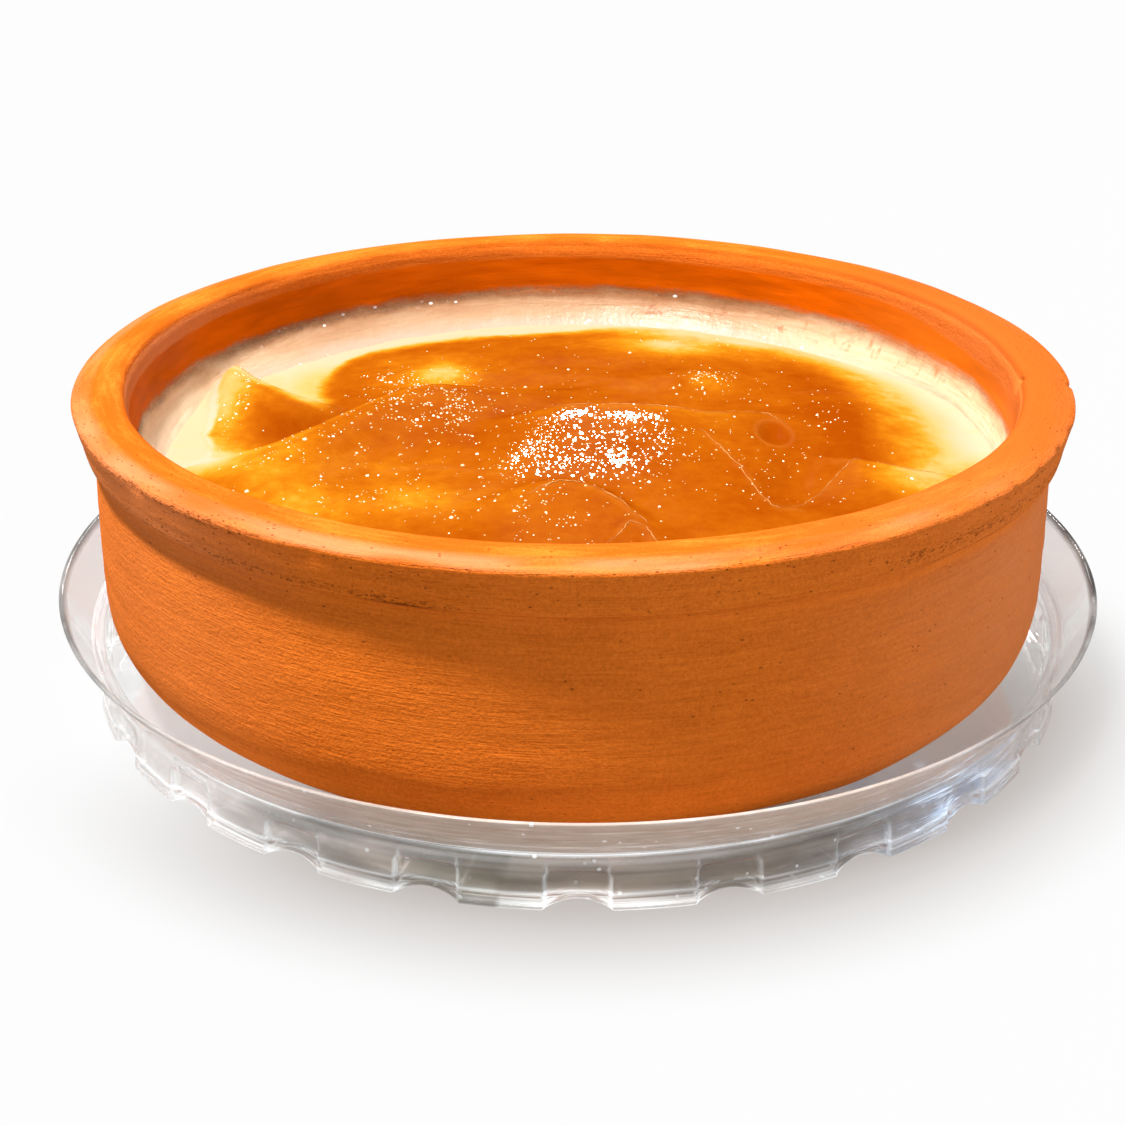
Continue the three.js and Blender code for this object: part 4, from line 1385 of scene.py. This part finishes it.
class PUDDING_OT_saucer(bpy.types.Operator):
    """Add the clear saucer: a flared skirt, a step and a foot with notches pushed into it."""

    bl_idname = "pudding.saucer"
    bl_label = "Clear saucer"

    def execute(self, context):
        look = context.scene.saucer_look
        section = saucer_section()
        length = np.concatenate([[0], np.cumsum(np.hypot(*np.diff(section[:, :2], axis=0).T))])
        fine = np.arange(0, length[-1], SECTION_STEP)
        points = np.stack([np.interp(fine, length, section[:, axis]) for axis in range(4)], 1)
        blur = 12
        weights = np.exp(-0.5 * (np.arange(-blur, blur + 1) / 5) ** 2)
        weights /= weights.sum()
        for axis in range(4):
            points[blur:-blur, axis] = np.convolve(points[:, axis], weights, "valid")
        heading = np.unwrap(np.arctan2(*np.gradient(points[:, :2], axis=0).T))
        bend = np.abs(np.gradient(heading, SECTION_STEP))
        striped = (points[:, 1] < STEP_Z + 0.5) & (points[:, 0] > FOOT_R - 0.75)
        density = np.where(striped, 1 / 0.3, 1 / 1.5) + np.minimum(bend, 4) * 2.2
        count = np.concatenate([[0], np.cumsum(density[:-1] * SECTION_STEP)])
        share = np.linspace(0, count[-1], int(count[-1]))
        rows = np.stack([np.interp(share, count, points[:, axis]) for axis in range(4)], 1)
        rows = rows.T[:, :, None]
        radius, height, push, lift = rows
        half_pitch = 180 / NOTCHES
        by_side = np.linspace(NOTCH_HALF_DEG - 0.9, NOTCH_HALF_DEG + NOTCH_SIDE_DEG + 0.1, look.steps // 2)
        inner = np.linspace(0, by_side[0], look.steps // 4)[:-1]
        outer = np.linspace(by_side[-1], half_pitch, look.steps // 4)[1:]
        half = np.concatenate([inner, by_side, outer])
        one = np.concatenate([-half[:0:-1], half[:-1]])
        off = np.tile(one, NOTCHES)
        around = len(off)
        angle = np.radians(off + np.repeat(np.arange(NOTCHES), len(one)) * 2 * half_pitch - 90)
        corner = np.clip((height - NOTCH_TOP_Z + NOTCH_CORNER) / NOTCH_CORNER, 0, 1)
        reach = NOTCH_HALF_DEG - NOTCH_CORNER_DEG * (1 - np.sqrt(1 - corner ** 2))
        notch = 1 - smooth(np.abs(off), reach - 0.1, reach + NOTCH_SIDE_DEG)
        bow = 1 - np.clip(np.abs(off) / NOTCH_HALF_DEG, 0, 1) ** 2
        radius = radius - NOTCH_DEPTH * push * notch * (0.6 + 0.4 * bow)
        height = height + (lift - height) * bow * notch
        radius = radius + 0.05 * clouds(angle / (2 * math.pi) * 40, height, 1.0, 61, 40) * (radius < 64)
        rings = radius.shape[0]
        x, y = radius * np.cos(angle), radius * np.sin(angle)
        shell = np.stack([x, y, height + 0 * x], -1).reshape(-1, 3)
        shell = np.concatenate([[(0, 0, TRAY_Z)], shell, [(0, 0, TRAY_Z + PLASTIC)]])
        # Where painted highlights go: the section's sharp bends and, below, the notches' sides.
        sharp = np.interp(share, count, np.clip(bend / 3, 0, 1))[:, None]
        sharp = sharp * (0.2 + 0.8 * smooth(-height, -SAUCER_Z + 1, -STEP_Z))
        aside = smooth(np.abs(np.cos(angle)), 0.55, 0.85)
        # Painted grey shade along the saucer's edge at the sides.
        edge = smooth(height, SAUCER_Z - 0.6, SAUCER_Z - 0.3)
        edge = edge + 0.3 * np.exp(-(((height - STEP_Z) / 0.3) ** 2))
        side = 0.7 * push * 4 * notch * (1 - notch)
        degrees = (np.degrees(angle) + 180) % 360 - 180
        low = smooth(-height, -STEP_Z - 0.2, -STEP_Z + 0.4)
        # Painted highlight lines round the saucer.
        lines = sum(
            strength * np.exp(-(((height - middle) / HIGHLIGHT_LINE_WIDTH) ** 2)) for middle, strength in HIGHLIGHT_LINES
        )
        # Painted shade in patches on the low front of the foot.
        low_front_shade = smooth(0.25 + clouds(angle * 7, height / 1.3, 1.0, 63), -0.2, 0.6)
        low_front_shade = 0.5 * low * low_front_shade * smooth(-np.sin(angle), 0.72, 0.93)
        zones = {
            "corner": np.clip(sharp * (1 - 0.85 * aside) + side * (1 - 0.6 * aside), 0, 1),
            "grey": 0.75 * edge * aside * (0.8 + 0.4 * clouds(angle * 12, height, 1.0, 62)) + low_front_shade,
            "blue": low * np.exp(-(((degrees - BLUE_REFLECTION_DEG) / BLUE_REFLECTION_WIDTH_DEG) ** 2)),
            "dusk": low * np.exp(-(((degrees - GREY_GREEN_SHADE_DEG) / GREY_GREEN_SHADE_WIDTH_DEG) ** 4)),
            "front": smooth(-np.sin(angle), 0.65, 1.0) * (1 - 0.45 * smooth(-np.cos(angle), 0.15, 0.5)),
            "skirt": 1 - low,
            "lines": lines * (radius > FOOT_R - NOTCH_DEPTH - 0.1),
        }
        zones = {name: np.concatenate([[0], (zone + 0 * x).ravel(), [0]]) for name, zone in zones.items()}
        add_piece("clear_saucer", shell, skin_faces(rings, around), clear_plastic(look),
                  "saucer", zones, {"turned": shell})
        return {"FINISHED"}


# ---- the stage

# Metres, but for what is named otherwise.
FLOOR_HALF = 30.0
FLOOR_SHADE_FROM = 0.053
FLOOR_SHADE_TO = 0.079
CAMERA_BACK = 0.22
CAMERA_HEIGHT = 0.11375
CAMERA_TILT_DEG = 25.09
CAMERA_ROLL = 0.0049
FOCAL_PIXELS = 1885.9
PICTURE_PIXELS = 1125
CENTRE_OFF_PIXELS = 9.9
SENSOR_MM = 36


def add_lamp(name, kind, azimuth, elevation, distance):
    """A lamp that looks at the bowl. Azimuth 0 is behind the bowl and 90 at its left."""
    lamp = bpy.data.lights.new(name, kind)
    thing = bpy.data.objects.new(name, lamp)
    a, e = math.radians(azimuth), math.radians(elevation)
    place = Vector((-math.sin(a) * math.cos(e), math.cos(a) * math.cos(e), math.sin(e))) * distance
    thing.matrix_world = Matrix.Translation(place) @ place.to_track_quat("Z", "Y").to_matrix().to_4x4()
    thing.visible_camera = False
    bpy.context.scene.collection.objects.link(thing)
    return thing


class PUDDING_OT_stage(bpy.types.Operator):
    """Add the floor, the light and the camera."""

    bl_idname = "pudding.stage"
    bl_label = "Floor, light and camera"

    def execute(self, context):
        look = context.scene.stage_look
        scene = context.scene
        far = FLOOR_HALF
        mesh = bpy.data.meshes.new("floor")
        mesh.from_pydata([(-far, -far, 0), (far, -far, 0), (far, far, 0), (-far, far, 0)],
                         [], [(0, 1, 2, 3)])
        mesh.materials.append(pale_floor(look))
        floor = bpy.data.objects.new("floor", mesh)
        scene.collection.objects.link(floor)
        world = bpy.data.worlds.new("sky")
        world.use_nodes = True
        backdrop = world.node_tree.nodes["Background"]
        backdrop.inputs["Color"].default_value = (1, 1, 1, 1)
        backdrop.inputs["Strength"].default_value = look.sky
        scene.world = world
        key = add_lamp("key", "SUN", 108, 74, 1)
        key.data.energy = look.key
        key.data.angle = math.radians(6)
        window = add_lamp("window", "AREA", 0, 35, 0.8)
        window.data.energy = look.window
        window.data.shape = "RECTANGLE"
        window.data.size, window.data.size_y = 0.1, 0.36
        window.visible_diffuse = False
        fill = add_lamp("fill", "AREA", -110, 22, 0.8)
        fill.data.energy = look.fill
        fill.data.size = 0.35
        fill.data.color = (0.82, 0.9, 1.0)
        camera = bpy.data.cameras.new("camera")
        camera.sensor_width = SENSOR_MM
        camera.lens = FOCAL_PIXELS / PICTURE_PIXELS * SENSOR_MM
        camera.shift_x = -CENTRE_OFF_PIXELS / PICTURE_PIXELS
        camera.clip_start = MM
        viewer = bpy.data.objects.new("camera", camera)
        viewer.matrix_world = (
            Matrix.Translation((AXIS_X * MM, -CAMERA_BACK, CAMERA_HEIGHT))
            @ Matrix.Rotation(math.radians(90 - CAMERA_TILT_DEG), 4, "X")
            @ Matrix.Rotation(CAMERA_ROLL, 4, "Z")
        )
        scene.collection.objects.link(viewer)
        scene.camera = viewer
        scene.view_settings.view_transform = "Standard"
        return {"FINISHED"}


# ---- the sidebar and the run

class PUDDING_PT_panel(bpy.types.Panel):
    """Lists the pieces and their settings."""

    bl_idname = "PUDDING_PT_panel"
    bl_label = "Baked pudding"
    bl_space_type = "VIEW_3D"
    bl_region_type = "UI"
    bl_category = "Pudding"

    def draw(self, context):
        for name in LOOKS:
            group = getattr(context.scene, name)
            box = self.layout.box()
            for key in group.bl_rna.properties.keys():
                if key not in ("rna_type", "name"):
                    box.prop(group, key)
        for operator in OPERATORS:
            self.layout.operator(operator.bl_idname)


LOOKS = {
    "bowl_look": BowlLook,
    "pudding_look": PuddingLook,
    "saucer_look": SaucerLook,
    "stage_look": StageLook,
}
OPERATORS = (
    PUDDING_OT_bowl, PUDDING_OT_pudding, PUDDING_OT_film, PUDDING_OT_bubbles, PUDDING_OT_beads,
    PUDDING_OT_creases, PUDDING_OT_saucer, PUDDING_OT_stage,
)


def register():
    for one in (*LOOKS.values(), *OPERATORS, PUDDING_PT_panel):
        bpy.utils.register_class(one)
    for name, group in LOOKS.items():
        setattr(bpy.types.Scene, name, PointerProperty(type=group))


def unregister():
    for name in LOOKS:
        delattr(bpy.types.Scene, name)
    for one in reversed((*LOOKS.values(), *OPERATORS, PUDDING_PT_panel)):
        bpy.utils.unregister_class(one)


def main():
    register()
    bpy.ops.pudding.stage()
    bpy.ops.pudding.bowl()
    bpy.ops.pudding.pudding()
    bpy.ops.pudding.film()
    bpy.ops.pudding.bubbles()
    bpy.ops.pudding.beads()
    bpy.ops.pudding.creases()
    bpy.ops.pudding.saucer()


if __name__ == "__main__":
    main()
